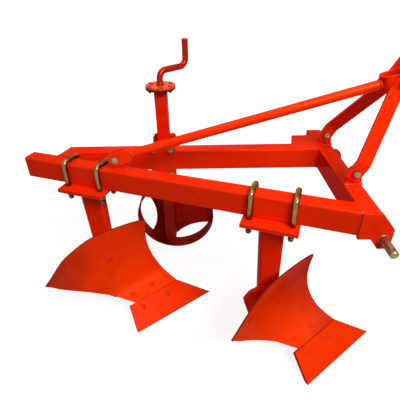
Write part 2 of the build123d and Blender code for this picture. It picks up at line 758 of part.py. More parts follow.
bolt_off = TUBE_HIGH / 2 + HEAD_AF / math.sqrt(3) + SEAM_GAP
bolt_heights = (BEAM_MID_Z - bolt_off, BEAM_MID_Z + bolt_off)
bolt_x = POST_WIDE / 2 + BOLT_RADIUS + STACK_CLEAR
plate_wide = bolt_x + PLATE_SIDE
plate_low = bolt_heights[0] - PLATE_EDGE
plate_high = bolt_heights[1] + PLATE_EDGE
PLATE = [
    (-plate_wide, plate_low),
    (plate_wide, plate_low),
    (plate_wide, plate_high - PLATE_CORNER_HIGH),
    (plate_wide - PLATE_CORNER_WIDE, plate_high),
    (-plate_wide + PLATE_CORNER_WIDE, plate_high),
    (-plate_wide, plate_high - PLATE_CORNER_HIGH),
]
inner_face = left_inner_y - PLATE_THICK
outer_face = left_outer_y + POST_WIDE
for name, low_y in (("inner", inner_face), ("outer", outer_face)):
    plate = upright([(x + POST_X, z) for x, z in PLATE], low_y, PLATE_THICK)
    for x in (POST_X - bolt_x, POST_X + bolt_x):
        for z in bolt_heights:
            plate -= rod((x, low_y - 5, z), (x, low_y + 20, z), BOLT_RADIUS + BOLT_FIT)
    nodes["post_clamp_" + name] = plate
clamp_bolts = [
    bolt((x, inner_face, z), (0, 1, 0), outer_face + PLATE_THICK - inner_face)
    for x in (POST_X - bolt_x, POST_X + bolt_x)
    for z in bolt_heights
]
nodes["post_clamp_bolts"] = Compound(children=clamp_bolts)

turn = math.radians(CRANK_TURN)
arm_x = CRANK_ARM * math.cos(turn)
arm_y = CRANK_ARM * math.sin(turn)
screw_low = slot_low + 2
crank_path = FilletPolyline(
    (POST_X, post_y, screw_low),
    (POST_X, post_y, POST_HIGH + CRANK_ARM_UP),
    (POST_X + arm_x, post_y + arm_y, POST_HIGH + CRANK_ARM_UP),
    (POST_X + arm_x, post_y + arm_y, POST_HIGH + CRANK_TOP_UP),
    radius=CRANK_BEND,
)
crank = sweep(Plane(origin=(POST_X, post_y, screw_low)) * Circle(CRANK_RADIUS), path=crank_path)
crank += Pos(POST_X, post_y, POST_HIGH + FLANGE_THICK - 6.5) * Cylinder(
    CRANK_RADIUS + CRANK_COLLAR, 10
)
nodes["crank_screw"] = crank

block_wide = POST_WIDE - 2 * POST_WALL - 2 * BLOCK_FIT
carriage = Pos(POST_X, post_y, WHEEL_Z) * Box(block_wide, block_wide, BLOCK_HIGH)
post_face = post_y + POST_WIDE / 2
neck_end = post_face + 1.5
carriage += Pos(POST_X, (post_y + neck_end) / 2 + 3, WHEEL_Z) * Box(
    SLOT_WIDE - 2 * NECK_FIT, neck_end - post_y, NECK_HIGH
)
carriage -= Pos(POST_X, post_y, WHEEL_Z) * Cylinder(CRANK_RADIUS + SCREW_FIT, BLOCK_HIGH + 2)
rim_low = post_face + RIM_CLEAR
rim_high = rim_low + WHEEL_WIDE
disc_mid = (rim_low + rim_high) / 2
bracket_end = neck_end + BRACKET_THICK
carriage += Pos((POST_X + WHEEL_X) / 2, (neck_end + bracket_end) / 2, WHEEL_Z) * Box(
    BRACKET_WIDE, BRACKET_THICK, BRACKET_HIGH
)
hub_low = bracket_end + HUB_GAP
hub_high = disc_mid + HUB_PAST_DISC
AXLE_STEPS = [
    (bracket_end - 1, hub_high + AXLE_END, AXLE_RADIUS),
    (hub_high + 1, hub_high + 5, AXLE_RADIUS + AXLE_COLLAR),
    (bracket_end - 1, hub_low - 1, AXLE_RADIUS + AXLE_COLLAR - 2),
]
for start_y, end_y, radius in AXLE_STEPS:
    carriage += rod((WHEEL_X, start_y, WHEEL_Z), (WHEEL_X, end_y, WHEEL_Z), radius)
nodes["wheel_carriage"] = carriage

wheel_plane = Plane(origin=(WHEEL_X, rim_low, WHEEL_Z), x_dir=(1, 0, 0), z_dir=(0, 1, 0))
rim = extrude(
    wheel_plane * (Circle(WHEEL_RADIUS) - Circle(WHEEL_RADIUS - RIM_THICK)), amount=WHEEL_WIDE
)
disc_face = Circle(WHEEL_RADIUS - RIM_THICK + 1)
for step in range(3):
    where = math.radians(180 + 120 * step)
    disc_face -= Pos(CUT_AWAY * math.cos(where), -CUT_AWAY * math.sin(where)) * Circle(CUT_RADIUS)
disc = extrude(wheel_plane.offset(disc_mid - DISC_THICK / 2 - rim_low) * disc_face, amount=DISC_THICK)
hub = rod((WHEEL_X, hub_low, WHEEL_Z), (WHEEL_X, hub_high, WHEEL_Z), HUB_RADIUS)
wheel = rim + disc + hub
wheel -= rod(
    (WHEEL_X, rim_low - 50, WHEEL_Z), (WHEEL_X, rim_high + 50, WHEEL_Z), AXLE_RADIUS + AXLE_FIT
)
nodes["gauge_wheel"] = wheel

for name, shape in nodes.items():
    moved = Pos(ORIGIN_BACK, ORIGIN_RIGHT, 0) * shape
    export_step(moved, "parts/" + name + ".step")
    print(name, round(moved.volume), len(moved.solids()))
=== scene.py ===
# %% [markdown]
# # A two-furrow mouldboard plough
# The plough is a welded frame of rectangular tube with two plough bodies clamped under
# it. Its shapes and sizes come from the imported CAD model. This lesson adds what the eye
# looks for: paint, plating, weld beads, threads, nuts, washers and countersunk bolts.

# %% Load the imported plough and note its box
import math
from functools import partial
import bpy
import bmesh
from mathutils import Matrix, Vector


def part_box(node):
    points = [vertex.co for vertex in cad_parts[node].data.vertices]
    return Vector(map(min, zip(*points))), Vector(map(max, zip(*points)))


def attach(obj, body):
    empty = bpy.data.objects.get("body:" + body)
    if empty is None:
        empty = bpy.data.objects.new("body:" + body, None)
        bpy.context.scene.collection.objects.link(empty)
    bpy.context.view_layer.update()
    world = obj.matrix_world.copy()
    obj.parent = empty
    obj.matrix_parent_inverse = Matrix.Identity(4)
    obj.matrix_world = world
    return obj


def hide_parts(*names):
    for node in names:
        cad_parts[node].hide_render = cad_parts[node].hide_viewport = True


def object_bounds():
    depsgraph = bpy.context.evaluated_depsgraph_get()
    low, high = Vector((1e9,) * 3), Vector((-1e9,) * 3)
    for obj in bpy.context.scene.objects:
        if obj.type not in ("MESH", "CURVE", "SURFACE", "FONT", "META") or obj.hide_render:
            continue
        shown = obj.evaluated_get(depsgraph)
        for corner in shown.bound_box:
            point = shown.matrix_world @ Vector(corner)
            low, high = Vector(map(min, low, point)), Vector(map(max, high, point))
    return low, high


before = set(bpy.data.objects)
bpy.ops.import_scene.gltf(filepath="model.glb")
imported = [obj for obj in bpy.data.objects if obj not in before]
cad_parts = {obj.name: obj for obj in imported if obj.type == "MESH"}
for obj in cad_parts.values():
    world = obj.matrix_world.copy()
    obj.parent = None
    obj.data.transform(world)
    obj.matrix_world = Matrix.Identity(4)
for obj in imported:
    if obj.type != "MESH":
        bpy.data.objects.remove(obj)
cad_box = [list(corner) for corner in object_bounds()]
print("CAD box", cad_box)

# %% [markdown]
# ## Small helpers
# Every node tree here is built in code. One helper makes a node, and fills its inputs
# either from plain values or from the sockets of other nodes, so a line of the script
# reads like a line of the tree.

# %% Helpers for node trees and objects
def put(tree, value, socket):
    """Set a socket from a plain value, or link it from another socket."""
    if isinstance(value, bpy.types.NodeSocket):
        tree.links.new(value, socket)
    else:
        socket.default_value = value


def add(tree, kind, *ordered, settings=None, **named):
    """A new node: its settings first, then inputs in order, then inputs by name."""
    made = tree.nodes.new(kind)
    for key, value in (settings or {}).items():
        setattr(made, key, value)
    for socket, value in zip(made.inputs, ordered):
        if value is not None:
            put(tree, value, socket)
    for name, value in named.items():
        put(tree, value, made.inputs[name.replace("_", " ")])
    return made


def math_node(tree, operation, a, b=None, c=None, clamp=False):
    """The result of one Math node; a, b and c are numbers or sockets."""
    settings = {"operation": operation, "use_clamp": clamp}
    return add(tree, "ShaderNodeMath", a, b, c, settings=settings).outputs[0]


def vector_node(tree, operation, a, b=None):
    """One Vector Math node; it gives back the node, whose outputs differ by kind."""
    return add(tree, "ShaderNodeVectorMath", a, b, settings={"operation": operation})


def noise(tree, where, **inputs):
    """A noise value about 0.5, read at a place; a place of None is the node's own."""
    if where is not None:
        inputs["Vector"] = where
    return add(tree, "ShaderNodeTexNoise", **inputs).outputs["Fac"]


def own_place(tree):
    """The point on a piece in the piece's own frame."""
    return add(tree, "ShaderNodeTexCoord").outputs["Object"]


def show(made):
    """Link an object into the scene and give it back."""
    bpy.context.scene.collection.objects.link(made)
    return made


# %% [markdown]
# ## Camera, floor and light
# The camera looks down on the plough from its right side. A camera object is turned by
# three steps: roll it a little, tip it down from level, and turn it about the upright.
# The floor is pale and large. Its own small glow is only for rays that the camera, a
# gloss or a glass sends, so the ground looks white and still lights the steel softly.

# %% Camera
CAMERA_PLACE = (-0.0054, -0.9344, 1.0754)
LENS = 31.89
TURN = 0.012
TIP_DOWN = 0.568
ROLL = -0.02
camera_data = bpy.data.cameras.new("studio_camera")
camera_data.sensor_width = 36.0
camera_data.lens = LENS
camera_data.clip_end = 100.0
camera = show(bpy.data.objects.new("studio_camera", camera_data))
bpy.context.scene.camera = camera
camera.matrix_world = (
    Matrix.Translation(CAMERA_PLACE)
    @ Matrix.Rotation(TURN, 4, "Z")
    @ Matrix.Rotation(math.pi / 2 - TIP_DOWN, 4, "X")
    @ Matrix.Rotation(ROLL, 4, "Z")
)
bpy.context.scene.view_settings.view_transform = "Standard"
print("camera at", tuple(camera.location))

# %% Floor
FLOOR_HALF = 30.0
FLOOR_BELOW = 0.0005
GLOW_NEAR, GLOW_FAR = 0.84, 1.0


def seen_directly(tree):
    """A mask: 1 for rays that the camera, a gloss or a glass sends, 0 for the rest."""
    rays = add(tree, "ShaderNodeLightPath").outputs
    mask = math_node(tree, "MAXIMUM", rays["Is Camera Ray"], rays["Is Glossy Ray"])
    return math_node(tree, "MAXIMUM", mask, rays["Is Transmission Ray"])


def pale_ground():
    """A pale floor that shows white to the camera and keeps the plough's shadow."""
    material = bpy.data.materials.new("pale_ground")
    material.use_nodes = True
    tree = material.node_tree
    tree.nodes.clear()
    away = vector_node(tree, "LENGTH", own_place(tree)).outputs["Value"]
    fade = math_node(tree, "MULTIPLY_ADD", away, 0.7, -0.6, clamp=True)
    strength = math_node(tree, "MULTIPLY_ADD", fade, GLOW_FAR - GLOW_NEAR, GLOW_NEAR)
    dull = add(tree, "ShaderNodeBsdfDiffuse", Color=(0.14, 0.13, 0.12, 1))
    white = add(tree, "ShaderNodeBsdfDiffuse", Color=(0.30, 0.30, 0.30, 1))
    glow = add(tree, "ShaderNodeEmission", Color=(1, 1, 1, 1), Strength=strength)
    both = add(tree, "ShaderNodeAddShader", white.outputs[0], glow.outputs[0])
    choose = add(tree, "ShaderNodeMixShader", seen_directly(tree), dull.outputs[0], both.outputs[0])
    add(tree, "ShaderNodeOutputMaterial", choose.outputs[0])
    return material


floor_mesh = bpy.data.meshes.new("floor")
corners = [(-FLOOR_HALF, -FLOOR_HALF, 0), (FLOOR_HALF, -FLOOR_HALF, 0)]
corners += [(FLOOR_HALF, FLOOR_HALF, 0), (-FLOOR_HALF, FLOOR_HALF, 0)]
floor_mesh.from_pydata(corners, [], [(0, 1, 2, 3)])
floor_mesh.transform(Matrix.Translation((0, 0, cad_box[0][2] - FLOOR_BELOW)))
floor_mesh.materials.append(pale_ground())
floor = show(bpy.data.objects.new("floor", floor_mesh))
print("floor at", round(cad_box[0][2] - FLOOR_BELOW, 5))

# %% World and lamps
WORLD_LEVEL = 0.05
world = bpy.data.worlds.new("studio")
bpy.context.scene.world = world
world.use_nodes = True
sky = world.node_tree
sky.nodes.clear()
level = math_node(sky, "MULTIPLY_ADD", seen_directly(sky), 1.0 - WORLD_LEVEL, WORLD_LEVEL)
backdrop = add(sky, "ShaderNodeBackground", Color=(1, 1, 1, 1), Strength=level)
add(sky, "ShaderNodeOutputWorld", backdrop.outputs[0])

LAMP_AIM = Vector((0.0, 0.0, 0.4))
WARM = (1.0, 0.97, 0.93)
LAMPS = (
    ("overhead", (0.2, 0.0, 3.0), 2.2, 28.0),
    ("front_right_high", (1.6, -1.8, 2.9), 0.9, 52.0),
    ("right_side", (0.8, -2.3, 2.8), 0.9, 44.0),
    ("left_side", (-0.3, 2.9, 1.1), 1.6, 17.0),
)
for name, place, size, watts in LAMPS:
    data = bpy.data.lights.new(name, "AREA")
    data.shape = "SQUARE"
    data.size = size
    data.energy = watts
    data.color = WARM
    lamp = show(bpy.data.objects.new(name, data))
    look = (LAMP_AIM - Vector(place)).to_track_quat("-Z", "Y")
    lamp.matrix_world = Matrix.Translation(place) @ look.to_matrix().to_4x4()
print("lamps", [name for name, place, size, watts in LAMPS])

# %% [markdown]
# ## Paint
# Farm machines get one thick coat of gloss enamel over welded steel. Seen close, the
# coat has a faint orange-peel ripple, its colour drifts and dulls a little from place
# to place, it wears along sharp edges, where most paints also get a pale painted glint,
# and dust lies on what faces up. All of these are wanted in several finishes, so they
# are one shader group with named inputs. The group puts out masks and a height only,
# and each material mixes its own colours. A second group fades with height, for soil
# and painted shade low down and a painted shadow high up.

# %% Shader group: how a coat of paint weathers, and where its edges get a painted glint
def new_group(name, inputs, outputs):
    """A shader group with float inputs and outputs; its inner ends come as sockets."""
    group = bpy.data.node_groups.new(name, "ShaderNodeTree")
    for label, value in inputs.items():
        socket = group.interface.new_socket(label, in_out="INPUT", socket_type="NodeSocketFloat")
        socket.default_value = value
    for label in outputs:
        group.interface.new_socket(label, in_out="OUTPUT", socket_type="NodeSocketFloat")
    given, result = group.nodes.new("NodeGroupInput"), group.nodes.new("NodeGroupOutput")
    return group, given.outputs, result.inputs


def put_out(group, result, values):
    """Link a group's outputs by name."""
    for label, value in values.items():
        put(group, value, result[label])
    print("shader group", group.name, "nodes", len(group.nodes))


weathering_and_glint, given, result = new_group(
    "coat_weathering_and_glint",
    {"Edge Width": 0.002, "Edge Amount": 1.0, "Dust Amount": 0.3, "Peel Size": 700.0, "Mottle Amount": 0.0},
    ["Edge", "Chips", "Dust", "Drift", "Mottle", "Height"],
)
calc = partial(math_node, weathering_and_glint)
where = own_place(weathering_and_glint)
flat_normal = add(weathering_and_glint, "ShaderNodeNewGeometry").outputs["True Normal"]
# The Edge mask marks sharp edges: chips and dark edge colours wear there, and pale edge colours paint a glint
# there.
rounded = add(weathering_and_glint, "ShaderNodeBevel", settings={"samples": 6}, Radius=given["Edge Width"])
agree = vector_node(weathering_and_glint, "DOT_PRODUCT", rounded.outputs[0], flat_normal).outputs["Value"]
patches = noise(weathering_and_glint, where, Scale=38.0, Detail=4.0, Roughness=0.6)
broken = calc("MULTIPLY_ADD", patches, 2.4, -0.55, clamp=True)
edge = calc("MULTIPLY", calc("SUBTRACT", 1.0, agree), broken)
edge = calc("MULTIPLY", edge, given["Edge Amount"], clamp=True)

specks = noise(weathering_and_glint, where, Scale=260.0, Detail=2.0)
chips = calc("MULTIPLY_ADD", specks, 14.0, -9.6, clamp=True)
chips = calc("MULTIPLY", chips, calc("MULTIPLY_ADD", edge, 2.0, 0.06))

upward = add(weathering_and_glint, "ShaderNodeSeparateXYZ", flat_normal).outputs["Z"]
cloud = noise(weathering_and_glint, where, Scale=9.0, Detail=6.0, Roughness=0.65)
dust = calc("MULTIPLY_ADD", cloud, 2.6, -1.0, clamp=True)
dust = calc("MULTIPLY", dust, calc("MAXIMUM", upward, 0.0))
dust = calc("MULTIPLY", dust, given["Dust Amount"])

blotches = noise(weathering_and_glint, where, Scale=46.0, Detail=5.0, Roughness=0.65)
dull = calc("MULTIPLY_ADD", blotches, 3.0, -1.35, clamp=True)
coat_masks = {
    "Edge": edge,
    "Chips": chips,
    "Dust": dust,
    "Drift": noise(weathering_and_glint, where, Scale=4.5, Detail=3.0),
    "Mottle": calc("MULTIPLY", dull, given["Mottle Amount"]),
    "Height": noise(weathering_and_glint, where, Scale=given["Peel Size"], Detail=1.5),
}
put_out(weathering_and_glint, result, coat_masks)

# %% Shader group: a cloudy border at a height
BORDER_CLOUD = 0.08
height_fade, given, result = new_group("height_fade", {"Top": 0.2, "Depth": 0.1}, ["Below", "Above"])
calc = partial(math_node, height_fade)
where = own_place(height_fade)
upright = add(height_fade, "ShaderNodeSeparateXYZ", where).outputs["Z"]
ragged = noise(height_fade, where, Scale=14.0, Detail=5.0)
height = calc("MULTIPLY_ADD", ragged, BORDER_CLOUD, upright)
top = calc("ADD", given["Top"], BORDER_CLOUD / 2)
below = calc("DIVIDE", calc("SUBTRACT", top, height), given["Depth"], clamp=True)
put_out(height_fade, result, {"Below": below, "Above": calc("SUBTRACT", 1.0, below, clamp=True)})

# %% Paint materials
DUST_COLOUR = (0.88, 0.085, 0.015, 1)
CHIP_COLOUR = (0.10, 0.012, 0.006, 1)
COAT_TINT = (1.0, 0.35, 0.25, 1)


def mix(tree, factor, a, b):
    """A colour between a and b; each is a colour tuple or a socket."""
    made = add(tree, "ShaderNodeMix", settings={"data_type": "RGBA"})
    for place, value in ((0, factor), (6, a), (7, b)):
        put(tree, value, made.inputs[place])
    return made.outputs[2]


def place_group(tree, group, **inputs):
    """The outputs of a shader group placed in a material, with its own values."""
    return add(tree, "ShaderNodeGroup", settings={"node_tree": group}, **inputs).outputs


def new_material(name):
    """A material, its node tree and its Principled shader's inputs."""
    material = bpy.data.materials.new(name)
    material.use_nodes = True
    return material, material.node_tree, material.node_tree.nodes["Principled BSDF"].inputs


# %% Helper: one gloss enamel
def gloss_paint(
    name, light, deep, edge_wear_and_glint_colour, roughness, edge=0.0022, edge_amount=3.0, dust=0.2, peel=0.15,
    peel_size=600.0, metallic=0.10, coat=0.10, coat_rough=0.10, mottle=0.0, low_soil_and_shade=None, high_shade=None,
    rim=None, spots=None,
):
    """Gloss enamel: two close reds that drift, worn edges with a painted glint, specks, dust and a ripple.

    edge is how far edge wear and glint reach in, and peel is the ripple's depth. mottle adds small
    dull patches. low_soil_and_shade is (top, depth, colour) for soil and painted shade low down,
    and high_shade is (low, depth, colour) for a painted shadow high up. rim is the colour that
    wears the outline of a board; with it the board is also painted lighter away from its outline
    and darker near it, a painted highlight and shade. spots is the colour of bare flecks.
    """
    material, tree, shader = new_material(name)
    calc = partial(math_node, tree)
    wear_and_glint = place_group(
        tree, weathering_and_glint, Edge_Width=edge, Edge_Amount=edge_amount, Dust_Amount=dust,
        Peel_Size=peel_size, Mottle_Amount=mottle,
    )
    blend = wear_and_glint["Drift"]
    # A rim colour also paints the board lighter away from its outline and darker near it: a painted highlight
    # and painted shade.
    if rim:
        inner = add(tree, "ShaderNodeAttribute", settings={"attribute_name": "rim"}).outputs["Fac"]
        blend = calc("MULTIPLY_ADD", blend, 2.2, -0.95)
        blend = calc("MULTIPLY_ADD", inner, 1.5, blend, clamp=True)
    colour = mix(tree, blend, deep, light)
    # Pale edge colours paint a glint along sharp edges; dark edge colours are wear.
    colour = mix(tree, wear_and_glint["Edge"], colour, edge_wear_and_glint_colour)
    colour = mix(tree, wear_and_glint["Dust"], colour, DUST_COLOUR)
    # Darkens the paint low down: painted shade under the frame on the post, and soil with painted shade on
    # the wheel.
    if low_soil_and_shade:
        top, depth, low_soil_and_shade_colour = low_soil_and_shade
        low_soil_and_shade_mask = place_group(tree, height_fade, Top=top, Depth=depth)["Below"]
        colour = mix(tree, low_soil_and_shade_mask, colour, low_soil_and_shade_colour)
    # Darkens the paint in a band high up: a painted shadow under the post's flange.
    if high_shade:
        low, depth, high_shade_colour = high_shade
        high_shade_mask = place_group(tree, height_fade, Top=low + depth, Depth=depth)["Above"]
        colour = mix(tree, high_shade_mask, colour, high_shade_colour)
    if mottle:
        colour = mix(tree, wear_and_glint["Mottle"], colour, deep)
    if rim:
        near = calc("MULTIPLY_ADD", inner, -2.0, 1.0, clamp=True)
        scuff = calc("MULTIPLY_ADD", wear_and_glint["Height"], 1.6, -0.35)
        scuff = calc("ADD", scuff, calc("MULTIPLY_ADD", wear_and_glint["Drift"], 2.0, -1.2))
        scuff = calc("MULTIPLY", calc("MULTIPLY", near, near), scuff, clamp=True)
        colour = mix(tree, scuff, colour, rim)
    if spots:
        flecks = noise(tree, own_place(tree), Scale=120.0, Detail=3.0, Roughness=0.7)
        bare = calc("MULTIPLY_ADD", flecks, 12.0, -6.0, clamp=True)
        colour = mix(tree, calc("MULTIPLY", bare, 0.75), colour, spots)
    colour = mix(tree, wear_and_glint["Chips"], colour, CHIP_COLOUR)
    rough = calc("MULTIPLY_ADD", wear_and_glint["Dust"], 0.5, roughness)
    rough = calc("MULTIPLY_ADD", wear_and_glint["Drift"], 0.10, rough, clamp=True)
    ripple = add(tree, "ShaderNodeBump", Strength=peel, Distance=0.0006, Height=wear_and_glint["Height"])
    for label, value in (
        ("Base Color", colour),
        ("Roughness", rough),
        ("Normal", ripple.outputs[0]),
        ("Metallic", metallic),
        ("Coat Weight", coat),
        ("Coat Roughness", coat_rough),
        ("Specular IOR Level", 0.0),
        ("Specular Tint", COAT_TINT),
    ):
        put(tree, value, shader[label])
    return material


# %% The paints of the plough
# The pale pink edge colours of the frame, beam, tube, weld, post, crank and flange paints are a painted glint
# along sharp edges; the dark edge colours of the board, share, flush bolt and wheel paints are wear.
frame_paint = gloss_paint(
    "red_frame_paint", (0.98, 0.029, 0.0, 1), (0.84, 0.020, 0.0, 1), (1.0, 0.21, 0.12, 1), 0.28,
    dust=0.10, coat=0.05, edge=0.0016, mottle=0.25,
)
beam_paint = gloss_paint(
    "red_beam_paint", (0.98, 0.029, 0.0, 1), (0.84, 0.020, 0.0, 1), (1.0, 0.20, 0.11, 1), 0.28,
    dust=0.10, coat=0.05, edge=0.006, mottle=0.25,
)
tube_paint = gloss_paint(
    "red_tube_paint", (0.98, 0.036, 0.0, 1), (0.86, 0.026, 0.0, 1), (1.0, 0.10, 0.04, 1), 0.26,
    dust=0.10, coat=0.06, metallic=0.35, edge=0.0012,
)
# The board is painted lighter in the middle and darker towards its outline, a painted highlight and painted
# shade, with worn patches near the outline.
board_paint = gloss_paint(
    "red_board_paint", (1.0, 0.044, 0.0, 1), (0.44, 0.010, 0.0, 1), (0.35, 0.03, 0.01, 1), 0.36,
    peel=0.10, dust=0.05, metallic=0.10, coat=0.06, coat_rough=0.30, mottle=0.20, rim=(0.36, 0.075, 0.045, 1),
)
cut_paint = gloss_paint(
    "red_cut_edge_paint", (0.34, 0.012, 0.002, 1), (0.20, 0.008, 0.002, 1), (0.42, 0.12, 0.08, 1), 0.45,
    peel=0.3, dust=0.05, coat=0.0,
)
share_paint = gloss_paint(
    "red_share_paint", (1.0, 0.050, 0.0, 1), (0.86, 0.022, 0.0, 1), (0.20, 0.020, 0.010, 1), 0.36,
    peel=0.12, dust=0.04, metallic=0.10, coat=0.05, coat_rough=0.3, edge=0.005, edge_amount=9.0, mottle=0.6,
)
flush_paint = gloss_paint(
    "red_flush_bolt_paint", (0.98, 0.040, 0.0, 1), (0.76, 0.023, 0.0, 1), (0.50, 0.020, 0.003, 1), 0.34,
    peel=0.12, dust=0.05, coat=0.05, metallic=0.02, edge=0.0003,
)
weld_paint = gloss_paint(
    "red_weld_paint", (0.90, 0.030, 0.001, 1), (0.56, 0.012, 0.0, 1), (1.0, 0.14, 0.07, 1), 0.26,
    peel=0.45, peel_size=320.0, coat=0.20,
)
# The post is painted darker below the frame, as painted shade, and in a band under the flange, as a painted
# shadow.
post_paint = gloss_paint(
    "red_post_paint", (0.90, 0.020, 0.0, 1), (0.76, 0.015, 0.0, 1), (1.0, 0.15, 0.08, 1), 0.30,
    low_soil_and_shade=(0.56, 0.16, (0.34, 0.006, 0.0, 1)), high_shade=(0.748, 0.030, (0.10, 0.010, 0.004, 1)),
)
# The crank's red is a darker copy of the frame's red, as painted shade.
crank_paint = gloss_paint(
    "red_crank_paint", (0.43, 0.014, 0.0, 1), (0.30, 0.008, 0.0, 1), (0.9, 0.12, 0.07, 1), 0.22,
    coat=0.16, dust=0.05, metallic=0.55,
)
flange_paint = gloss_paint(
    "red_flange_paint", (1.0, 0.095, 0.012, 1), (0.94, 0.065, 0.006, 1), (1.0, 0.20, 0.10, 1), 0.30,
    coat=0.10, dust=0.10, spots=(0.14, 0.026, 0.012, 1),
)
# The wheel's red is painted far darker than the frame's and darker again low down: soil, and painted shade
# under the frame.
wheel_paint = gloss_paint(
    "red_wheel_paint", (0.42, 0.006, 0.0, 1), (0.30, 0.004, 0.0, 1), (0.09, 0.008, 0.004, 1), 0.34,
    dust=0.05, peel=0.3, coat=0.05, low_soil_and_shade=(0.20, 0.16, (0.17, 0.008, 0.002, 1)),
)
print("paints", frame_paint.name, board_paint.name, weld_paint.name)

# %% [markdown]
# ## Plating
# The U-bolts and hitch pins are plated yellow, the hexagon bolts plain. Plating is
# thin, so the drawn steel under it shows as fine lines, and its colour drifts between
# straw, olive and a little violet. Each of these is a value over the surface, so they
# are one group again, and the metal shader itself stays in each material.

# %% Shader group: drawn and plated steel
plating, given, result = new_group(
    "plated_steel", {"Grain Size": 900.0, "Stain Size": 60.0}, ["Drift", "Stain", "Height"]
)
where = own_place(plating)
stains = noise(plating, where, Scale=given["Stain Size"], Detail=4.0, Roughness=0.62)
plate_masks = {
    "Drift": noise(plating, where, Scale=24.0, Detail=1.0),
    "Stain": math_node(plating, "MULTIPLY_ADD", stains, 3.0, -1.25, clamp=True),
    "Height": noise(plating, where, Scale=given["Grain Size"], Detail=3.0, Roughness=0.6),
}
put_out(plating, result, plate_masks)


# %% Plated materials
PLATE_TINT = (0.35, 0.28, 0.20, 1)


def plated(name, pale, strong, stain_colour, roughness, metallic=1.0):
    """Plated steel between two tints, with darker stains and fine drawn lines."""
    material, tree, shader = new_material(name)
    metal = place_group(tree, plating, Grain_Size=900.0, Stain_Size=34.0)
    colour = mix(tree, metal["Drift"], pale, strong)
    colour = mix(tree, math_node(tree, "MULTIPLY", metal["Stain"], 0.45), colour, stain_colour)
    rough = math_node(tree, "MULTIPLY_ADD", metal["Stain"], 0.2, roughness, clamp=True)
    lines = add(tree, "ShaderNodeBump", Strength=0.25, Distance=0.0002, Height=metal["Height"])
    for label, value in (
        ("Base Color", colour),
        ("Roughness", rough),
        ("Normal", lines.outputs[0]),
        ("Metallic", metallic),
        ("Specular Tint", PLATE_TINT),
    ):
        put(tree, value, shader[label])
    return material


gold_zinc = plated(
    "yellow_zinc_plate", (0.34, 0.200, 0.080, 1), (0.17, 0.098, 0.036, 1), (0.05, 0.026, 0.012, 1), 0.12
)
pin_zinc = plated(
    "worn_pin_plate", (0.42, 0.32, 0.17, 1), (0.26, 0.185, 0.085, 1), (0.11, 0.065, 0.03, 1), 0.32
)
silver_zinc = plated(
    "plain_zinc_plate", (0.40, 0.30, 0.20, 1), (0.245, 0.178, 0.115, 1), (0.11, 0.075, 0.045, 1), 0.30
)
dark_zinc = plated(
    "dark_nut_plate", (0.13, 0.105, 0.065, 1), (0.075, 0.06, 0.04, 1), (0.03, 0.025, 0.02, 1), 0.34
)
primer = plated(
    "bare_primer", (0.05, 0.03, 0.02, 1), (0.03, 0.015, 0.01, 1), (0.10, 0.07, 0.05, 1), 0.6, metallic=0.2
)
print("platings", gold_zinc.name, silver_zinc.name, dark_zinc.name)

# %% Give each CAD node its finish
FINISHES = {
    "head_beam": beam_paint,
    "diagonal_beam": beam_paint,
    "leg_front": beam_paint,
    "leg_rear": beam_paint,
    "hitch_pin_right": pin_zinc,
    "hitch_pin_left": pin_zinc,
    "share_front": share_paint,
    "share_rear": share_paint,
    "wheel_post": post_paint,
    "post_cap": flange_paint,
    "brace": tube_paint,
    "stay_front": tube_paint,
    "stay_rear": tube_paint,
    "gauge_wheel": wheel_paint,
    "wheel_carriage": wheel_paint,
}
for name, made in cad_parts.items():
    made.data.materials.clear()
    made.data.materials.append(FINISHES.get(name, frame_paint))
print("painted CAD nodes", len(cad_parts))

# %% [markdown]
# ## Where things are
# The frame's long tube runs back at a slant, and the two plough bodies hang below it.
# A few directions and corners are read from the CAD boxes and used by many pieces.

# %% Directions and corners of the frame
SLANT = math.radians(19.5)
TUBE_WIDE = 0.050
DIAGONAL_EDGE_IN = 0.0053
BODY_FIRST = 0.2155
BODY_STEP = 0.5856
along = Vector((-math.cos(SLANT), math.sin(SLANT), 0))
across = Vector((math.sin(SLANT), math.cos(SLANT), 0))
up = Vector((0, 0, 1))
head_low, head_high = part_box("head_beam")
frame_low, frame_high = head_low.z, head_high.z
corner = Vector((head_low.x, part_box("cheek_right")[0].y + DIAGONAL_EDGE_IN, 0))
gusset_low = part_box("corner_gusset")[0]
left_outer = gusset_low.y
left_inner = left_outer - TUBE_WIDE
feet = {"front": corner + along * BODY_FIRST, "rear": corner + along * (BODY_FIRST + BODY_STEP)}
print("frame from", round(frame_low, 4), "to", round(frame_high, 4))
print("plough bodies at", {name: tuple(round(c, 4) for c in foot) for name, foot in feet.items()})

# %% [markdown]
# ## Making plain meshes from Geometry Nodes
# Several things here repeat or follow a path. Each gets a node tree built in code with
# named inputs. A tree is run by a modifier on a small guide mesh, and the result is
# then turned into an ordinary mesh, because the pieces are used outside Blender too.

# %% Helpers to build and run a geometry tree
FLOAT, INT, VECTOR = "NodeSocketFloat", "NodeSocketInt", "NodeSocketVector"
MATERIAL, OBJECT = "NodeSocketMaterial", "NodeSocketObject"


def geometry_tree(name, inputs):
    """A geometry node tree with more named inputs; its inner ends come as sockets."""
    tree = bpy.data.node_groups.new(name, "GeometryNodeTree")
    tree.interface.new_socket("Geometry", in_out="INPUT", socket_type="NodeSocketGeometry")
    for label, kind, value in inputs:
        socket = tree.interface.new_socket(label, in_out="INPUT", socket_type=kind)
        if value is not None:
            socket.default_value = value
    tree.interface.new_socket("Geometry", in_out="OUTPUT", socket_type="NodeSocketGeometry")
    given, result = tree.nodes.new("NodeGroupInput"), tree.nodes.new("NodeGroupOutput")
    return tree, given.outputs, result.inputs


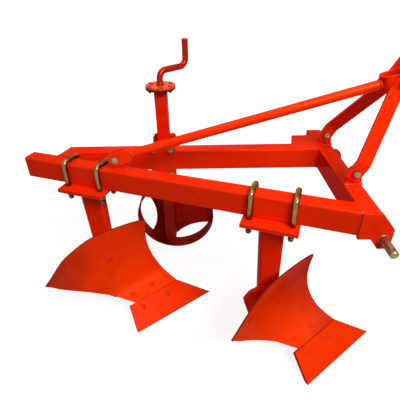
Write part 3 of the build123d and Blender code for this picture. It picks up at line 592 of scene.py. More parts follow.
def coat_and_put_out(tree, shape, finish, result):
    """End a tree: set the shape's material and put it out."""
    coat = add(tree, "GeometryNodeSetMaterial", Geometry=shape, Material=finish)
    put(tree, coat.outputs[0], result[0])
    print("geometry tree", tree.name, "nodes", len(tree.nodes))


def bake(name, guide, tree, values, extra=()):
    """Run a tree, or modifiers alone, on a guide mesh; give back one plain mesh object."""
    holder = show(bpy.data.objects.new(name + "_guide", guide))
    if tree:
        modifier = holder.modifiers.new("nodes", "NODES")
        modifier.node_group = tree
        for item in tree.interface.items_tree:
            if item.in_out == "INPUT" and item.name in values:
                modifier[item.identifier] = values[item.name]
    for kind, settings in extra:
        more = holder.modifiers.new(kind.lower(), kind)
        for key, value in settings.items():
            setattr(more, key, value)
    bpy.context.view_layer.update()
    ready = holder.evaluated_get(bpy.context.evaluated_depsgraph_get())
    mesh = bpy.data.meshes.new_from_object(ready)
    mesh.name = name
    bpy.data.objects.remove(holder)
    bpy.data.meshes.remove(guide)
    return show(bpy.data.objects.new(name, mesh))


# %% Helpers to shade, join and hand over a piece
def smooth(mesh, angle=35.0):
    """Shade a mesh smooth, but keep edges sharper than an angle crisp."""
    mesh.polygons.foreach_set("use_smooth", [True] * len(mesh.polygons))
    shape = bmesh.new()
    shape.from_mesh(mesh)
    limit = math.radians(angle)
    for line in shape.edges:
        line.smooth = len(line.link_faces) == 2 and line.calc_face_angle(0.0) < limit
    shape.to_mesh(mesh)
    shape.free()
    return mesh


def join(name, parts):
    """Join mesh objects at the origin into one object, keeping their materials."""
    target = bmesh.new()
    finishes = []
    for part in parts:
        start = len(target.faces)
        target.from_mesh(part.data)
        target.faces.ensure_lookup_table()
        slots = []
        for finish in part.data.materials:
            if finish not in finishes:
                finishes.append(finish)
            slots.append(finishes.index(finish))
        for face in target.faces[start:]:
            face.material_index = slots[min(face.material_index, len(slots) - 1)]
    mesh = bpy.data.meshes.new(name)
    target.to_mesh(mesh)
    target.free()
    for finish in finishes:
        mesh.materials.append(finish)
    for part in parts:
        old = part.data
        bpy.data.objects.remove(part)
        bpy.data.meshes.remove(old)
    return show(bpy.data.objects.new(name, mesh))


def finish_piece(piece, body, finish_slot, *stands_for):
    """Tell the frame what a piece moves with and what it replaces; finish_slot is not used."""
    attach(piece, body)
    if stands_for:
        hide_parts(*stands_for)
    print(piece.name, "faces", len(piece.data.polygons), "stands for", list(stands_for))


# %% [markdown]
# ## The mouldboards
# A mouldboard is a curved sheet that turns the furrow slice over. Its shape follows a
# rule: at each height, a line leaves the shin edge and runs back and to the right at a
# certain angle, with a little hollow. A grid whose points are placed by that rule is
# smoother than CAD triangles, so gloss paint shows no facets. Curves in the tree hold
# the shin, the angle, and the upper and lower outline. The tree also notes on each
# point how near it is to the outline, where the paint is worn and painted darker as
# shade, while the middle is painted lighter as a highlight.

# %% Tables of the mouldboard, in millimetres and degrees
SHIN_BACK = [
    (40, 306.0), (66.6, 263.4), (80, 240.1), (95, 220.2), (112, 203.1), (130, 191.3),
    (150, 180.7), (172, 171.1), (196, 163.4), (222, 158.0), (250, 155.0), (276, 155.0),
    (304, 157.4), (333, 160.9), (365, 164.5), (400, 168.5),
]
SHIN_SIDE = [
    (40, 12.0), (66.6, 35.6), (80, 48.0), (95, 58.0), (112, 64.3), (130, 67.8),
    (150, 69.7), (172, 70.8), (196, 71.2), (222, 71.4), (250, 71.5), (276, 71.0),
    (304, 69.2), (333, 66.5), (365, 63.5), (400, 60.5),
]
SWEEP = [(40, 36.65), (67, 37.0), (130, 40.8), (200, 43.2), (270, 45.2), (340, 45.4), (400, 45.4)]
UPPER = [
    (0, 333), (25, 342.5), (52, 349), (84, 355.5), (133, 364), (178, 370), (206, 371.5), (228, 369.5),
    (253, 364.5), (282, 355.5), (311, 343.5), (332, 326), (349.5, 308), (367, 291), (381, 279.5),
]
LOWER = [
    (0, 60.0), (180.4, 60.0), (187.2, 66.5), (207, 85.5), (229, 109), (256, 138), (279, 163),
    (300, 185.5), (321, 208), (342, 233), (362, 259), (381, 279.5),
]
TIP = 381.0
HOLLOW = 5.0
HOLLOW_SPAN = 350.0
RIM_REACH = 110.0
print("board length", TIP, "shin from", SHIN_BACK[0][0], "to", SHIN_BACK[-1][0])

# %% Helper: read a table with a curve
def read_curve(tree, socket, table, sharp=()):
    """A Float Curve node that reads a table of (in, out) points, in their own units."""
    ins = [a for a, b in table]
    outs = [b for a, b in table]
    low, high = min(ins), max(ins)
    base, span = min(outs), max(outs) - min(outs)
    scaled = math_node(tree, "MULTIPLY_ADD", socket, 1 / (high - low), -low / (high - low))
    curve = tree.nodes.new("ShaderNodeFloatCurve")
    points = curve.mapping.curves[0].points
    while len(points) < len(table):
        points.new(0.5, 0.5)
    for place, (a, b) in enumerate(table):
        points[place].location = ((a - low) / (high - low), (b - base) / span)
    for place in range(len(table)):
        points[place].handle_type = "VECTOR" if place in sharp else "AUTO"
    curve.mapping.update()
    tree.links.new(scaled, curve.inputs["Value"])
    return math_node(tree, "MULTIPLY_ADD", curve.outputs[0], span, base)


# %% Geometry tree: a curved board by rule
board_tree, given, result = geometry_tree(
    "board_by_rule",
    [
        ("Columns", INT, 90),
        ("Rows", INT, 70),
        ("Length", FLOAT, TIP),
        ("Hollow", FLOAT, HOLLOW),
        ("Foot", VECTOR, None),
        ("Finish", MATERIAL, None),
    ],
)
calc = partial(math_node, board_tree)
grid = add(
    board_tree, "GeometryNodeMeshGrid", Size_X=1.0, Size_Y=1.0,
    Vertices_X=given["Columns"], Vertices_Y=given["Rows"],
)
place = add(board_tree, "GeometryNodeInputPosition").outputs[0]
spot = add(board_tree, "ShaderNodeSeparateXYZ", place).outputs
back = calc("MULTIPLY", calc("ADD", spot["X"], 0.5), given["Length"])
rise = calc("ADD", spot["Y"], 0.5)
lower = read_curve(board_tree, back, LOWER, sharp=(0, 1, 2))
upper = read_curve(board_tree, back, UPPER)
height = calc("MULTIPLY_ADD", rise, calc("SUBTRACT", upper, lower), lower)
shin_x = read_curve(board_tree, height, SHIN_BACK)
shin_y = read_curve(board_tree, height, SHIN_SIDE)
angle = calc("RADIANS", read_curve(board_tree, height, SWEEP))
sine = calc("SINE", angle)
cosine = calc("COSINE", angle)
part = calc("DIVIDE", back, HOLLOW_SPAN)
dish = calc("MULTIPLY", part, calc("SUBTRACT", 1.0, part))
dish = calc("MULTIPLY", dish, calc("MULTIPLY", given["Hollow"], 4.0))
place_x = calc("SUBTRACT", shin_x, calc("MULTIPLY", back, cosine))
place_x = calc("SUBTRACT", place_x, calc("MULTIPLY", dish, sine))
place_y = calc("SUBTRACT", shin_y, calc("MULTIPLY", back, sine))
place_y = calc("ADD", place_y, calc("MULTIPLY", dish, cosine))
metres = [calc("MULTIPLY", value, 0.001) for value in (place_x, place_y, height)]
spot_out = add(board_tree, "ShaderNodeCombineXYZ", *metres).outputs[0]
moved = vector_node(board_tree, "ADD", spot_out, given["Foot"]).outputs["Vector"]
placed = add(board_tree, "GeometryNodeSetPosition", Geometry=grid.outputs["Mesh"], Position=moved)
edge_gap = calc("MINIMUM", calc("SUBTRACT", upper, height), back)
tip_gap = calc("MULTIPLY", calc("SUBTRACT", TIP, back), 0.5)
rim = calc("DIVIDE", calc("MINIMUM", edge_gap, tip_gap), RIM_REACH, clamp=True)
noted = add(
    board_tree, "GeometryNodeStoreNamedAttribute", settings={"data_type": "FLOAT", "domain": "POINT"},
    Geometry=placed.outputs[0], Name="rim", Value=rim,
)
welded = add(board_tree, "GeometryNodeMergeByDistance", Geometry=noted.outputs[0], Distance=0.00005)
outward = add(board_tree, "GeometryNodeFlipFaces", Mesh=welded.outputs[0])
shade = add(board_tree, "GeometryNodeSetShadeSmooth", Geometry=outward.outputs[0])
coat_and_put_out(board_tree, shade.outputs[0], given["Finish"], result)

# %% Make the two mouldboards
SHARE_HEEL = Vector((0.2642, 0.0355, 0.0666))
SHARE_WING = Vector((0.1001, -0.0903, 0.0659))
SHARE_POINT = Vector((0.3918, 0.0355, 0.0))
SEAM_GAP = 0.0006
BOARD_THICK = 0.005
BOARD_EDGE = 0.0009
share_edge = (SHARE_WING - SHARE_HEEL).normalized()
share_up = share_edge.cross(SHARE_POINT - SHARE_HEEL).normalized()
down_face = share_edge.cross(share_up)
if down_face.z > 0:
    down_face = -down_face


def trimmed(mesh, point, beyond):
    """Cut away what lies past a plane."""
    shape = bmesh.new()
    shape.from_mesh(mesh)
    everything = shape.verts[:] + shape.edges[:] + shape.faces[:]
    bmesh.ops.bisect_plane(
        shape, geom=everything, dist=1e-6, plane_co=point, plane_no=beyond, clear_outer=True
    )
    shape.to_mesh(mesh)
    shape.free()
    return mesh


THICKEN = {"thickness": BOARD_THICK, "offset": -1.0, "use_even_offset": True, "material_offset_rim": 1}
BREAK_EDGES = {"width": BOARD_EDGE, "segments": 2, "limit_method": "ANGLE", "angle_limit": 1.0}
boards = {}
for name, foot in feet.items():
    values = {"Foot": tuple(foot), "Finish": board_paint}
    sheet = bake("sheet_" + name, bpy.data.meshes.new("empty"), board_tree, values)
    flat_mesh = trimmed(sheet.data, foot + SHARE_HEEL - down_face * SEAM_GAP, down_face)
    flat_mesh.materials.append(cut_paint)
    bpy.data.objects.remove(sheet)
    finishing = [("SOLIDIFY", THICKEN), ("BEVEL", BREAK_EDGES)]
    piece = bake("mouldboard_sheet_" + name, flat_mesh, None, {}, finishing)
    smooth(piece.data, 40)
    finish_piece(piece, "frame", "red_paint", "mouldboard_" + name)
    boards[name] = piece

# %% [markdown]
# ## Nuts, bolts and washers
# A hexagon nut is a six-sided bar whose corners are turned off by a cone, and that
# cone leaves the curved line seen on every real nut. Here a ring of 24 points follows
# the hexagon, and each point drops by how far it lies outside the turned circle. All
# parts are drawn for a thread one unit across, so one size number scales them.

# %% Rings, and meshes made of rings
def ring(shape, radius_at, height_at, steps=24):
    """A closed ring of points about Z, from a radius by angle and a height by radius."""
    points = []
    for step in range(steps):
        turn_by = 2 * math.pi * step / steps
        radius = radius_at(turn_by)
        spot = (radius * math.cos(turn_by), radius * math.sin(turn_by), height_at(radius))
        points.append(shape.verts.new(spot))
    return points


def round_ring(shape, radius, height, steps=24):
    """A closed circle of points about Z."""
    return ring(shape, lambda turn_by: radius, lambda r: height, steps)


def skin(shape, first, second):
    """Quads between two rings of the same count."""
    count = len(first)
    for place in range(count):
        after = (place + 1) % count
        shape.faces.new((first[place], first[after], second[after], second[place]))


def finished_mesh(name, shape, material):
    """Close a bmesh into an object that other pieces are copied from."""
    bmesh.ops.recalc_face_normals(shape, faces=shape.faces)
    mesh = bpy.data.meshes.new(name)
    shape.to_mesh(mesh)
    shape.free()
    mesh.materials.append(material)
    smooth(mesh, 32)
    return show(bpy.data.objects.new(name, mesh))


def turned_master(name, profile, material, steps=24, closed=True):
    """A lathe shape from (radius, height) points: solid when closed, else a ring."""
    shape = bmesh.new()
    rings = [round_ring(shape, radius, height, steps) for radius, height in profile]
    after = rings[1:] if closed else rings[1:] + rings[:1]
    for first, second in zip(rings, after):
        skin(shape, first, second)
    if closed:
        shape.faces.new(rings[-1])
        shape.faces.new(list(reversed(rings[0])))
    return finished_mesh(name, shape, material)


# %% Helpers: washers and hexagons
def washer_master(name, outer, bore, thick, material):
    """A flat ring with broken edges."""
    broken = thick * 0.2
    profile = [
        (bore, 0.0),
        (outer - broken, 0.0),
        (outer, broken),
        (outer, thick - broken),
        (outer - broken, thick),
        (bore, thick),
    ]
    return turned_master(name, profile, material, 32, closed=False)


def hexagon_radius(turn_by, flats):
    """Distance from the middle to a hexagon's side in a direction."""
    return (flats / 2) / math.cos((turn_by + math.pi / 6) % (math.pi / 3) - math.pi / 6)


def hexagon_master(name, flats, tall, bore, material):
    """A nut when bore is above 0, else a bolt head; it stands on Z = 0."""
    shape = bmesh.new()
    turned = 0.49 * flats

    def outside(turn_by):
        return hexagon_radius(turn_by, flats)

    def drop(radius):
        return max(0.0, radius - turned) * 0.55

    bottom = ring(shape, outside, drop if bore else (lambda radius: 0.0))
    top = ring(shape, outside, lambda radius: tall - drop(radius))
    top_circle = round_ring(shape, turned * 0.97, tall)
    low_circle = round_ring(shape, turned * 0.97, 0.0)
    skin(shape, bottom, top)
    skin(shape, top, top_circle)
    skin(shape, low_circle, bottom)
    if bore:
        bevel = round_ring(shape, bore + 0.05, tall)
        inner = round_ring(shape, bore, tall - 0.05)
        deep = round_ring(shape, bore, 0.0)
        for first, second in zip((top_circle, bevel, inner, deep), (bevel, inner, deep, low_circle)):
            skin(shape, first, second)
    else:
        raised = round_ring(shape, turned * 0.8, tall + 0.012)
        skin(shape, top_circle, raised)
        shape.faces.new(raised)
        shape.faces.new(list(reversed(low_circle)))
    return finished_mesh(name, shape, material)


# %% Masters: heads, nuts, washers and the flush head
head_master = hexagon_master("hexagon_head", 1.5, 0.62, 0.0, silver_zinc)
nut_master = hexagon_master("hexagon_nut", 1.6, 0.82, 0.50, dark_zinc)
painted_head_master = hexagon_master("painted_head", 1.6, 0.55, 0.0, weld_paint)
thin_nut_master = hexagon_master("thin_nut", 1.7, 0.62, 0.50, dark_zinc)
WASHER_THICK = 0.14
washer_flat = washer_master("flat_washer", 1.02, 0.52, WASHER_THICK, silver_zinc)
collar_master = washer_master("pin_collar", 0.90, 0.74, 0.12, pin_zinc)
flush_profile = [(0.90, -0.12), (0.90, 0.018), (0.86, 0.026), (0.2, 0.028)]
flush_disc = turned_master("countersunk_head", flush_profile, flush_paint, 32)
flush_seam = washer_master("head_seam", 1.0, 0.90, 0.02, cut_paint)
flush_master = join("flush_head", [flush_disc, flush_seam])
print("masters", head_master.name, nut_master.name, washer_flat.name, flush_master.name)

# %% [markdown]
# A thread is a helix: a small ridge that climbs by one pitch each turn. The Spiral
# curve node gives the helix and Curve to Mesh sweeps a three-sided ridge along it. A
# plain core fills the inside.

# %% Geometry tree: a thread
thread_tree, given, result = geometry_tree(
    "rolled_thread",
    [
        ("Turns", FLOAT, 14.0),
        ("Pitch", FLOAT, 0.125),
        ("Core Radius", FLOAT, 0.45),
        ("Ridge", FLOAT, 0.075),
        ("Finish", MATERIAL, None),
    ],
)
calc = partial(math_node, thread_tree)
core_radius = given["Core Radius"]
rise = calc("MULTIPLY", given["Turns"], given["Pitch"])
helix = add(
    thread_tree, "GeometryNodeCurveSpiral", Resolution=20, Rotations=given["Turns"],
    Start_Radius=core_radius, End_Radius=core_radius, Height=rise,
)
ridge = add(thread_tree, "GeometryNodeCurvePrimitiveCircle", Resolution=3, Radius=given["Ridge"])
swept = add(
    thread_tree, "GeometryNodeCurveToMesh", Curve=helix.outputs[0],
    Profile_Curve=ridge.outputs[0], Fill_Caps=True,
)
core_high = calc("ADD", given["Pitch"], rise)
core = add(thread_tree, "GeometryNodeMeshCylinder", Vertices=20, Depth=core_high, Radius=core_radius)
raise_by = add(thread_tree, "ShaderNodeCombineXYZ", Z=calc("MULTIPLY", core_high, 0.5))
lift = add(
    thread_tree, "GeometryNodeTransform", Geometry=core.outputs["Mesh"], Translation=raise_by.outputs[0]
)
gather = add(thread_tree, "GeometryNodeJoinGeometry", swept.outputs[0])
put(thread_tree, lift.outputs[0], gather.inputs[0])
coat_and_put_out(thread_tree, gather.outputs[0], given["Finish"], result)


def thread_master(name, turns, finish):
    """A threaded stud one unit across that stands on Z = 0."""
    made = bake(name, bpy.data.meshes.new("empty"), thread_tree, {"Turns": turns, "Finish": finish})
    smooth(made.data, 30)
    return made


bolt_end = thread_master("bolt_thread", 5.0, silver_zinc)
rod_end = thread_master("u_bolt_thread", 16.0, dark_zinc)
print("threads", len(bolt_end.data.polygons), len(rod_end.data.polygons))

# %% Geometry tree: fasteners on points
KINDS = ("Head", "Washer", "Nut", "Thread")
fastener_tree, given, result = geometry_tree(
    "fasteners_on_points", [(label, OBJECT, None) for label in KINDS]
)


def point_value(name, data_type):
    """A named value that each guide point carries."""
    settings = {"data_type": data_type}
    made = add(fastener_tree, "GeometryNodeInputNamedAttribute", settings=settings, Name=name)
    return made.outputs[0]


kind, size = point_value("kind", "INT"), point_value("size", "FLOAT")
own_turn = add(fastener_tree, "ShaderNodeCombineXYZ", Z=point_value("spin", "FLOAT"))
facing = add(
    fastener_tree, "FunctionNodeAlignRotationToVector", settings={"axis": "Z"},
    Vector=point_value("aim", "FLOAT_VECTOR"),
)
both_turns = add(
    fastener_tree, "FunctionNodeRotateRotation", facing.outputs[0], own_turn.outputs[0],
    settings={"rotation_space": "LOCAL"},
)
gather = add(fastener_tree, "GeometryNodeJoinGeometry")
for number, label in enumerate(KINDS):
    source = add(fastener_tree, "GeometryNodeObjectInfo", Object=given[label])
    chosen = add(
        fastener_tree, "FunctionNodeCompare", settings={"data_type": "INT", "operation": "EQUAL"}
    )
    put(fastener_tree, kind, chosen.inputs[2])
    put(fastener_tree, number, chosen.inputs[3])
    copies = add(
        fastener_tree, "GeometryNodeInstanceOnPoints", Points=given["Geometry"],
        Selection=chosen.outputs[0], Instance=source.outputs["Geometry"],
        Rotation=both_turns.outputs[0], Scale=size,
    )
    put(fastener_tree, copies.outputs[0], gather.inputs[0])
real = add(fastener_tree, "GeometryNodeRealizeInstances", gather.outputs[0])
put(fastener_tree, real.outputs[0], result[0])
print("geometry tree", fastener_tree.name, "nodes", len(fastener_tree.nodes))


# %% Helpers that place fasteners
def fasteners(name, rows, head=head_master, nut=nut_master, thread=bolt_end, washer=washer_flat):
    """Build fasteners from rows of (kind, place, aim, size, spin)."""
    guide = bpy.data.meshes.new(name + "_points")
    guide.from_pydata([row[1] for row in rows], [], [])
    for label, data_type, values in (
        ("kind", "INT", [KINDS.index(row[0]) for row in rows]),
        ("size", "FLOAT", [row[3] for row in rows]),
        ("spin", "FLOAT", [row[4] for row in rows]),
    ):
        guide.attributes.new(label, data_type, "POINT").data.foreach_set("value", values)
    aims = [c for row in rows for c in Vector(row[2]).normalized()]
    guide.attributes.new("aim", "FLOAT_VECTOR", "POINT").data.foreach_set("vector", aims)
    masters = {"Head": head, "Washer": washer, "Nut": nut, "Thread": thread}
    return bake(name, guide, fastener_tree, masters)


def through_bolt(head_seat, aim, grip, size, spin=0.0):
    """Rows for a bolt: head on one side, washer, nut and thread beyond."""
    head_seat, aim = Vector(head_seat), Vector(aim).normalized()
    far = head_seat + aim * grip
    plate = size * WASHER_THICK
    return [
        ("Head", head_seat, -aim, size, spin),
        ("Washer", far, aim, size, 0.0),
        ("Nut", far + aim * plate, aim, size, spin + 0.3),
        ("Thread", far + aim * plate * 2.4, aim, size, 0.0),
    ]


def middle_of(node):
    """The middle of a CAD node's box."""
    low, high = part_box(node)
    return (low + high) / 2


# %% Hexagon bolts of the mast, brace and post clamp
BOLT = 0.012
BAR_THICK = 0.008
LUG_THICK = 0.010
FORK_OUT = 0.0063
CLAMP_BOLT_IN = Vector((0.009, 0.0, 0.0104))
TO_LEFT = (0, 1, 0)


def bolt_across(node, low_y, high_y, spin):
    """A bolt through two faces, head to the right, in place of a CAD node."""
    middle = middle_of(node)
    rows = through_bolt((middle.x, low_y, middle.z), TO_LEFT, high_y - low_y, BOLT, spin)
    finish_piece(fasteners(node + "_piece", rows), "frame", "plain_zinc", node)


for side in ("right", "left"):
    lug_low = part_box("mast_lug_" + side)[0]
    bolt_across("mast_foot_bolt_" + side, lug_low.y - BAR_THICK, lug_low.y + LUG_THICK, 0.2)
strap_low, strap_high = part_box("mast_strap")
bolt_across("mast_tie_bolt", strap_low.y - BAR_THICK, strap_high.y + BAR_THICK, 0.4)
ear_low, ear_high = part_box("brace_ear")
bolt_across("brace_bolt", ear_low.y - FORK_OUT, ear_high.y + FORK_OUT, 0.1)

clamp_low, clamp_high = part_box("post_clamp_bolts")
inner_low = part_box("post_clamp_inner")[0].y
outer_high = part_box("post_clamp_outer")[1].y
near, far = clamp_low + CLAMP_BOLT_IN, clamp_high - CLAMP_BOLT_IN
rows = []
for x in (near.x, far.x):
    for z in (near.z, far.z):
        seat = Vector((x, inner_low, z))
        rows += through_bolt(seat, TO_LEFT, outer_high - inner_low, BOLT, x * 40)
        rows.append(("Thread", seat, TO_LEFT, BOLT, 0.0))
finish_piece(fasteners("post_clamp_bolts_piece", rows), "frame", "plain_zinc", "post_clamp_bolts")

# %% [markdown]
# ## Bars bent from round rod
# The U-bolts and the crank are bent from round bar. A guide line holds only the corner
# points. The tree rounds each corner with the bar's real bend radius, then sweeps a
# circle along the line, so the bends stay smooth at any size.

# %% Geometry tree: a bent round bar
bar_tree, given, result = geometry_tree(
    "bent_round_bar",
    [
        ("Bar Radius", FLOAT, 0.008),
        ("Bend Radius", FLOAT, 0.016),
        ("Sides", INT, 24),
        ("Finish", MATERIAL, None),
    ],
)
line = add(bar_tree, "GeometryNodeMeshToCurve", given["Geometry"])
rounded = add(
    bar_tree, "GeometryNodeFilletCurve", settings={"mode": "POLY"}, Curve=line.outputs[0],
    Radius=given["Bend Radius"], Count=10,
)
section = add(
    bar_tree, "GeometryNodeCurvePrimitiveCircle", Resolution=given["Sides"], Radius=given["Bar Radius"]
)
bar = add(
    bar_tree, "GeometryNodeCurveToMesh", Curve=rounded.outputs[0],
    Profile_Curve=section.outputs[0], Fill_Caps=True,
)
coat_and_put_out(bar_tree, bar.outputs[0], given["Finish"], result)


def guide_lines(name, *lines):
    """One mesh of open or closed lines; a line that ends where it began is closed."""
    points, links = [], []
    for line_points in lines:
        line_points = [Vector(point) for point in line_points]
        closed = (line_points[0] - line_points[-1]).length < 1e-6
        if closed:
            line_points = line_points[:-1]
        first = len(points)
        points += line_points
        count = len(line_points)
        links += [(first + i, first + (i + 1) % count) for i in range(count if closed else count - 1)]
    mesh = bpy.data.meshes.new(name + "_lines")
    mesh.from_pydata(points, links, [])
    return mesh


def bent_bar(name, corners, radius, bend, finish):
    """A round bar along corner points."""
    values = {"Bar Radius": radius, "Bend Radius": bend, "Finish": finish}
    made = bake(name, guide_lines(name, corners), bar_tree, values)
    smooth(made.data, 40)
    return made


# %% U-bolts over the diagonal beam
U_ROD = 0.008
U_LEG = 0.034
U_SPACING = 0.1156
U_BEND = 0.016
U_CLEAR = 0.001
U_WASHER = 0.0023
U_CROWN = frame_high + U_CLEAR + U_ROD
PLATE_UNDER = frame_low - 0.012
for body, foot in feet.items():
    for end, side in (("fore", -1), ("aft", 1)):
        name = "u_bolt_" + body + "_" + end
        stand = foot + across * (TUBE_WIDE / 2) + along * (side * U_SPACING / 2)
        legs = [stand - across * U_LEG, stand + across * U_LEG]
        seats = [leg + up * PLATE_UNDER for leg in legs]
        crowns = [leg + up * U_CROWN for leg in legs]
        rows = []
        for place, seat in enumerate(seats):
            rows.append(("Washer", seat, -up, 2 * U_ROD, 0.0))
            rows.append(("Nut", seat - up * U_WASHER, -up, 2 * U_ROD, 0.4 + side + place))
            rows.append(("Thread", seat, -up, 2 * U_ROD, 0.0))
        parts = [
            bent_bar(name + "_rod", [seats[0], *crowns, seats[1]], U_ROD, U_BEND, gold_zinc),
            fasteners(name + "_nuts", rows, thread=rod_end),
        ]
        finish_piece(join(name + "_piece", parts), "frame", "yellow_zinc", name)

# %% Crank with its domed handle and collar
CRANK_RADIUS = 0.010
CRANK_BEND = 0.024
CRANK_FOOT, CRANK_ARM, CRANK_TOP = 0.18, 0.823, 0.8975
post = Vector((-0.138, 0.209, 0.0))
arm = Vector((1, 1, 0)) * (0.112 * math.cos(math.pi / 4))
crank_corners = [
    post + up * CRANK_FOOT,
    post + up * CRANK_ARM,
    post + arm + up * CRANK_ARM,
    post + arm + up * CRANK_TOP,
]
dome = [
    (0.010, 0.0), (0.0104, 0.0006), (0.0104, 0.0035), (0.0098, 0.0052), (0.0074, 0.0067), (0.0038, 0.0074),
]
handle_end = turned_master("handle_end", dome, crank_paint)
handle_end.data.transform(Matrix.Translation(crank_corners[-1]))
collar_outline = [
    (0.0101, 0.0), (0.0122, 0.0), (0.0125, 0.0012), (0.0125, 0.005), (0.0118, 0.0062), (0.0101, 0.0064),
]
collar = turned_master("crank_collar", collar_outline, crank_paint)
collar.data.transform(Matrix.Translation(post + up * 0.7812))
crank_bar = bent_bar("crank_bar", crank_corners, CRANK_RADIUS, CRANK_BEND, crank_paint)
crank = join("crank_piece", [crank_bar, handle_end, collar])
smooth(crank.data, 40)
finish_piece(crank, "crank", "red_paint", "crank_screw")

# %% The bolts of the post's flange
FLANGE_TOP, FLANGE_UNDER = 0.781, 0.769
FLANGE_CIRCLE = 0.036
FLANGE_HEAD, FLANGE_NUT = 0.0075, 0.0085
rows = []
for number, degrees in enumerate((27, 153, 207, 333)):
    turn_by = math.radians(degrees)
    place = post + Vector((math.cos(turn_by), math.sin(turn_by), 0)) * FLANGE_CIRCLE
    rows.append(("Head", place + up * FLANGE_TOP, up, FLANGE_HEAD, number * 0.7))
    rows.append(("Nut", place + up * FLANGE_UNDER, -up, FLANGE_NUT, number * 0.4))
    rows.append(("Thread", place + up * (FLANGE_UNDER - 0.003), -up, FLANGE_NUT, 0.0))
flange_bolts = fasteners("flange_bolts", rows, head=painted_head_master, nut=thin_nut_master)
finish_piece(flange_bolts, "frame", "plain_zinc")

# %% [markdown]
# ## Flush bolts that hold the boards and shares
# Each bolt is placed by a rough point. The exact seat and its direction come from the
# nearest spot on the working face, so the heads stay flush if the rule for the board
# changes. The nuts sit behind the frog's pad, but one bolt of each board is welded
# behind and has none.

# %% Flush bolts
BOARD_BOLTS = [(104, -50, 85), (165.5, 2.6, 86.5), (39, -32, 226), (-58, -146, 283.5)]
SHARE_BOLTS = [(141, -81.5, 50.5), (226.5, -16.5, 50.5)]
WELDED = 0.0
BOARD_GRIPS = [0.0133, 0.0133, 0.0133, WELDED]
SHARE_GRIPS = [0.0193, 0.0193]
BEFORE_FACE = Vector((0.01, -0.01, 0.01))
for body, foot in feet.items():
    rows = []
    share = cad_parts["share_" + body]
    for spots, plate, grips in (
        (BOARD_BOLTS, boards[body], BOARD_GRIPS),
        (SHARE_BOLTS, share, SHARE_GRIPS),
    ):
        to_local = plate.matrix_world.inverted()
        for place, grip in zip(spots, grips):
            rough = foot + Vector(place) / 1000 + BEFORE_FACE
            _, spot, normal, _ = plate.closest_point_on_mesh(to_local @ rough)
            spot = plate.matrix_world @ spot
            normal = (plate.matrix_world.to_3x3() @ normal).normalized()
            rows.append(("Head", spot, normal, BOLT, 0.0))
            if grip == WELDED:
                continue
            rows.append(("Washer", spot - normal * grip, -normal, BOLT, 0.0))
            rows.append(("Nut", spot - normal * (grip + 0.0016), -normal, BOLT, place[0]))
            rows.append(("Thread", spot - normal * (grip + 0.003), -normal, BOLT, 0.0))
    finish_piece(fasteners("flush_bolts_" + body, rows, head=flush_master), "frame", "red_paint")

# %% [markdown]
# ## Welds
# A weld bead is a chain of small overlapping ripples. Each path below is a line of
# corner points where two pieces meet. The tree resamples the path evenly, swells and
# narrows the bead with the length travelled, and pushes it about a little with noise.

# %% Geometry tree: a weld bead
WANDER = 0.00025
weld_tree, given, result = geometry_tree(
    "weld_bead",
    [
        ("Bead Radius", FLOAT, 0.003),
        ("Ripple Length", FLOAT, 0.0042),
        ("Step", FLOAT, 0.0014),
        ("Seed", INT, 7),
        ("Finish", MATERIAL, None),
    ],
)
calc = partial(math_node, weld_tree)
line = add(weld_tree, "GeometryNodeMeshToCurve", given["Geometry"])
even = add(
    weld_tree, "GeometryNodeResampleCurve", settings={"mode": "LENGTH"}, Curve=line.outputs[0],
    Length=given["Step"],
)
travelled = add(weld_tree, "GeometryNodeSplineParameter").outputs["Length"]
phase = calc("FRACT", calc("DIVIDE", travelled, given["Ripple Length"]))
lumps = calc("MULTIPLY_ADD", noise(weld_tree, None, Scale=70.0, Detail=2.0), 0.5, 0.75)
swell = calc("MULTIPLY", calc("MULTIPLY_ADD", phase, 0.34, 0.80), lumps)
sized = add(weld_tree, "GeometryNodeSetCurveRadius", Curve=even.outputs[0], Radius=swell)
section = add(weld_tree, "GeometryNodeCurvePrimitiveCircle", Resolution=8, Radius=given["Bead Radius"])
bead = add(
    weld_tree, "GeometryNodeCurveToMesh", Curve=sized.outputs[0],
    Profile_Curve=section.outputs[0], Fill_Caps=True,
)
wander = add(
    weld_tree, "FunctionNodeRandomValue", settings={"data_type": "FLOAT_VECTOR"},
    Min=(-WANDER, -WANDER, -WANDER), Max=(WANDER, WANDER, WANDER), Seed=given["Seed"],
)
shaken = add(weld_tree, "GeometryNodeSetPosition", Geometry=bead.outputs[0], Offset=wander.outputs[0])
shade = add(weld_tree, "GeometryNodeSetShadeSmooth", Geometry=shaken.outputs[0])
coat_and_put_out(weld_tree, shade.outputs[0], given["Finish"], result)

# %% Paths for welds
def rectangle(low, high, grow, z):
    """A closed level loop round a box, a little outside it."""
    left, right, near, far = low.x - grow, high.x + grow, low.y - grow, high.y + grow
    return [(left, near, z), (right, near, z), (right, far, z), (left, far, z), (left, near, z)]


def circle(middle, axis, radius, start=0.0, end=360.0, steps=32):
    """Points round an axis, closed when it goes the whole way."""
    axis = Vector(axis).normalized()
    first = axis.orthogonal().normalized() if abs(axis.y) < 0.9 else Vector((1, 0, 0))
    second = axis.cross(first)
    points = []
    for step in range(steps + 1):
        turn_by = math.radians(start + (end - start) * step / steps)
        points.append(Vector(middle) + (first * math.cos(turn_by) + second * math.sin(turn_by)) * radius)
    if abs(end - start) >= 360:
        points[-1] = points[0]
    return points


def base_loop(node, z):
    """The loop round a plate that stands on the frame."""
    return rectangle(*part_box(node), 0.0015, z)


def weld(name, body, radius, *paths, seed, finish=weld_paint):
    """Weld beads along paths, moving with one body."""
    values = {"Bead Radius": radius, "Seed": seed, "Finish": finish}
    finish_piece(bake(name, guide_lines(name, *paths), weld_tree, values), body, "red_paint")


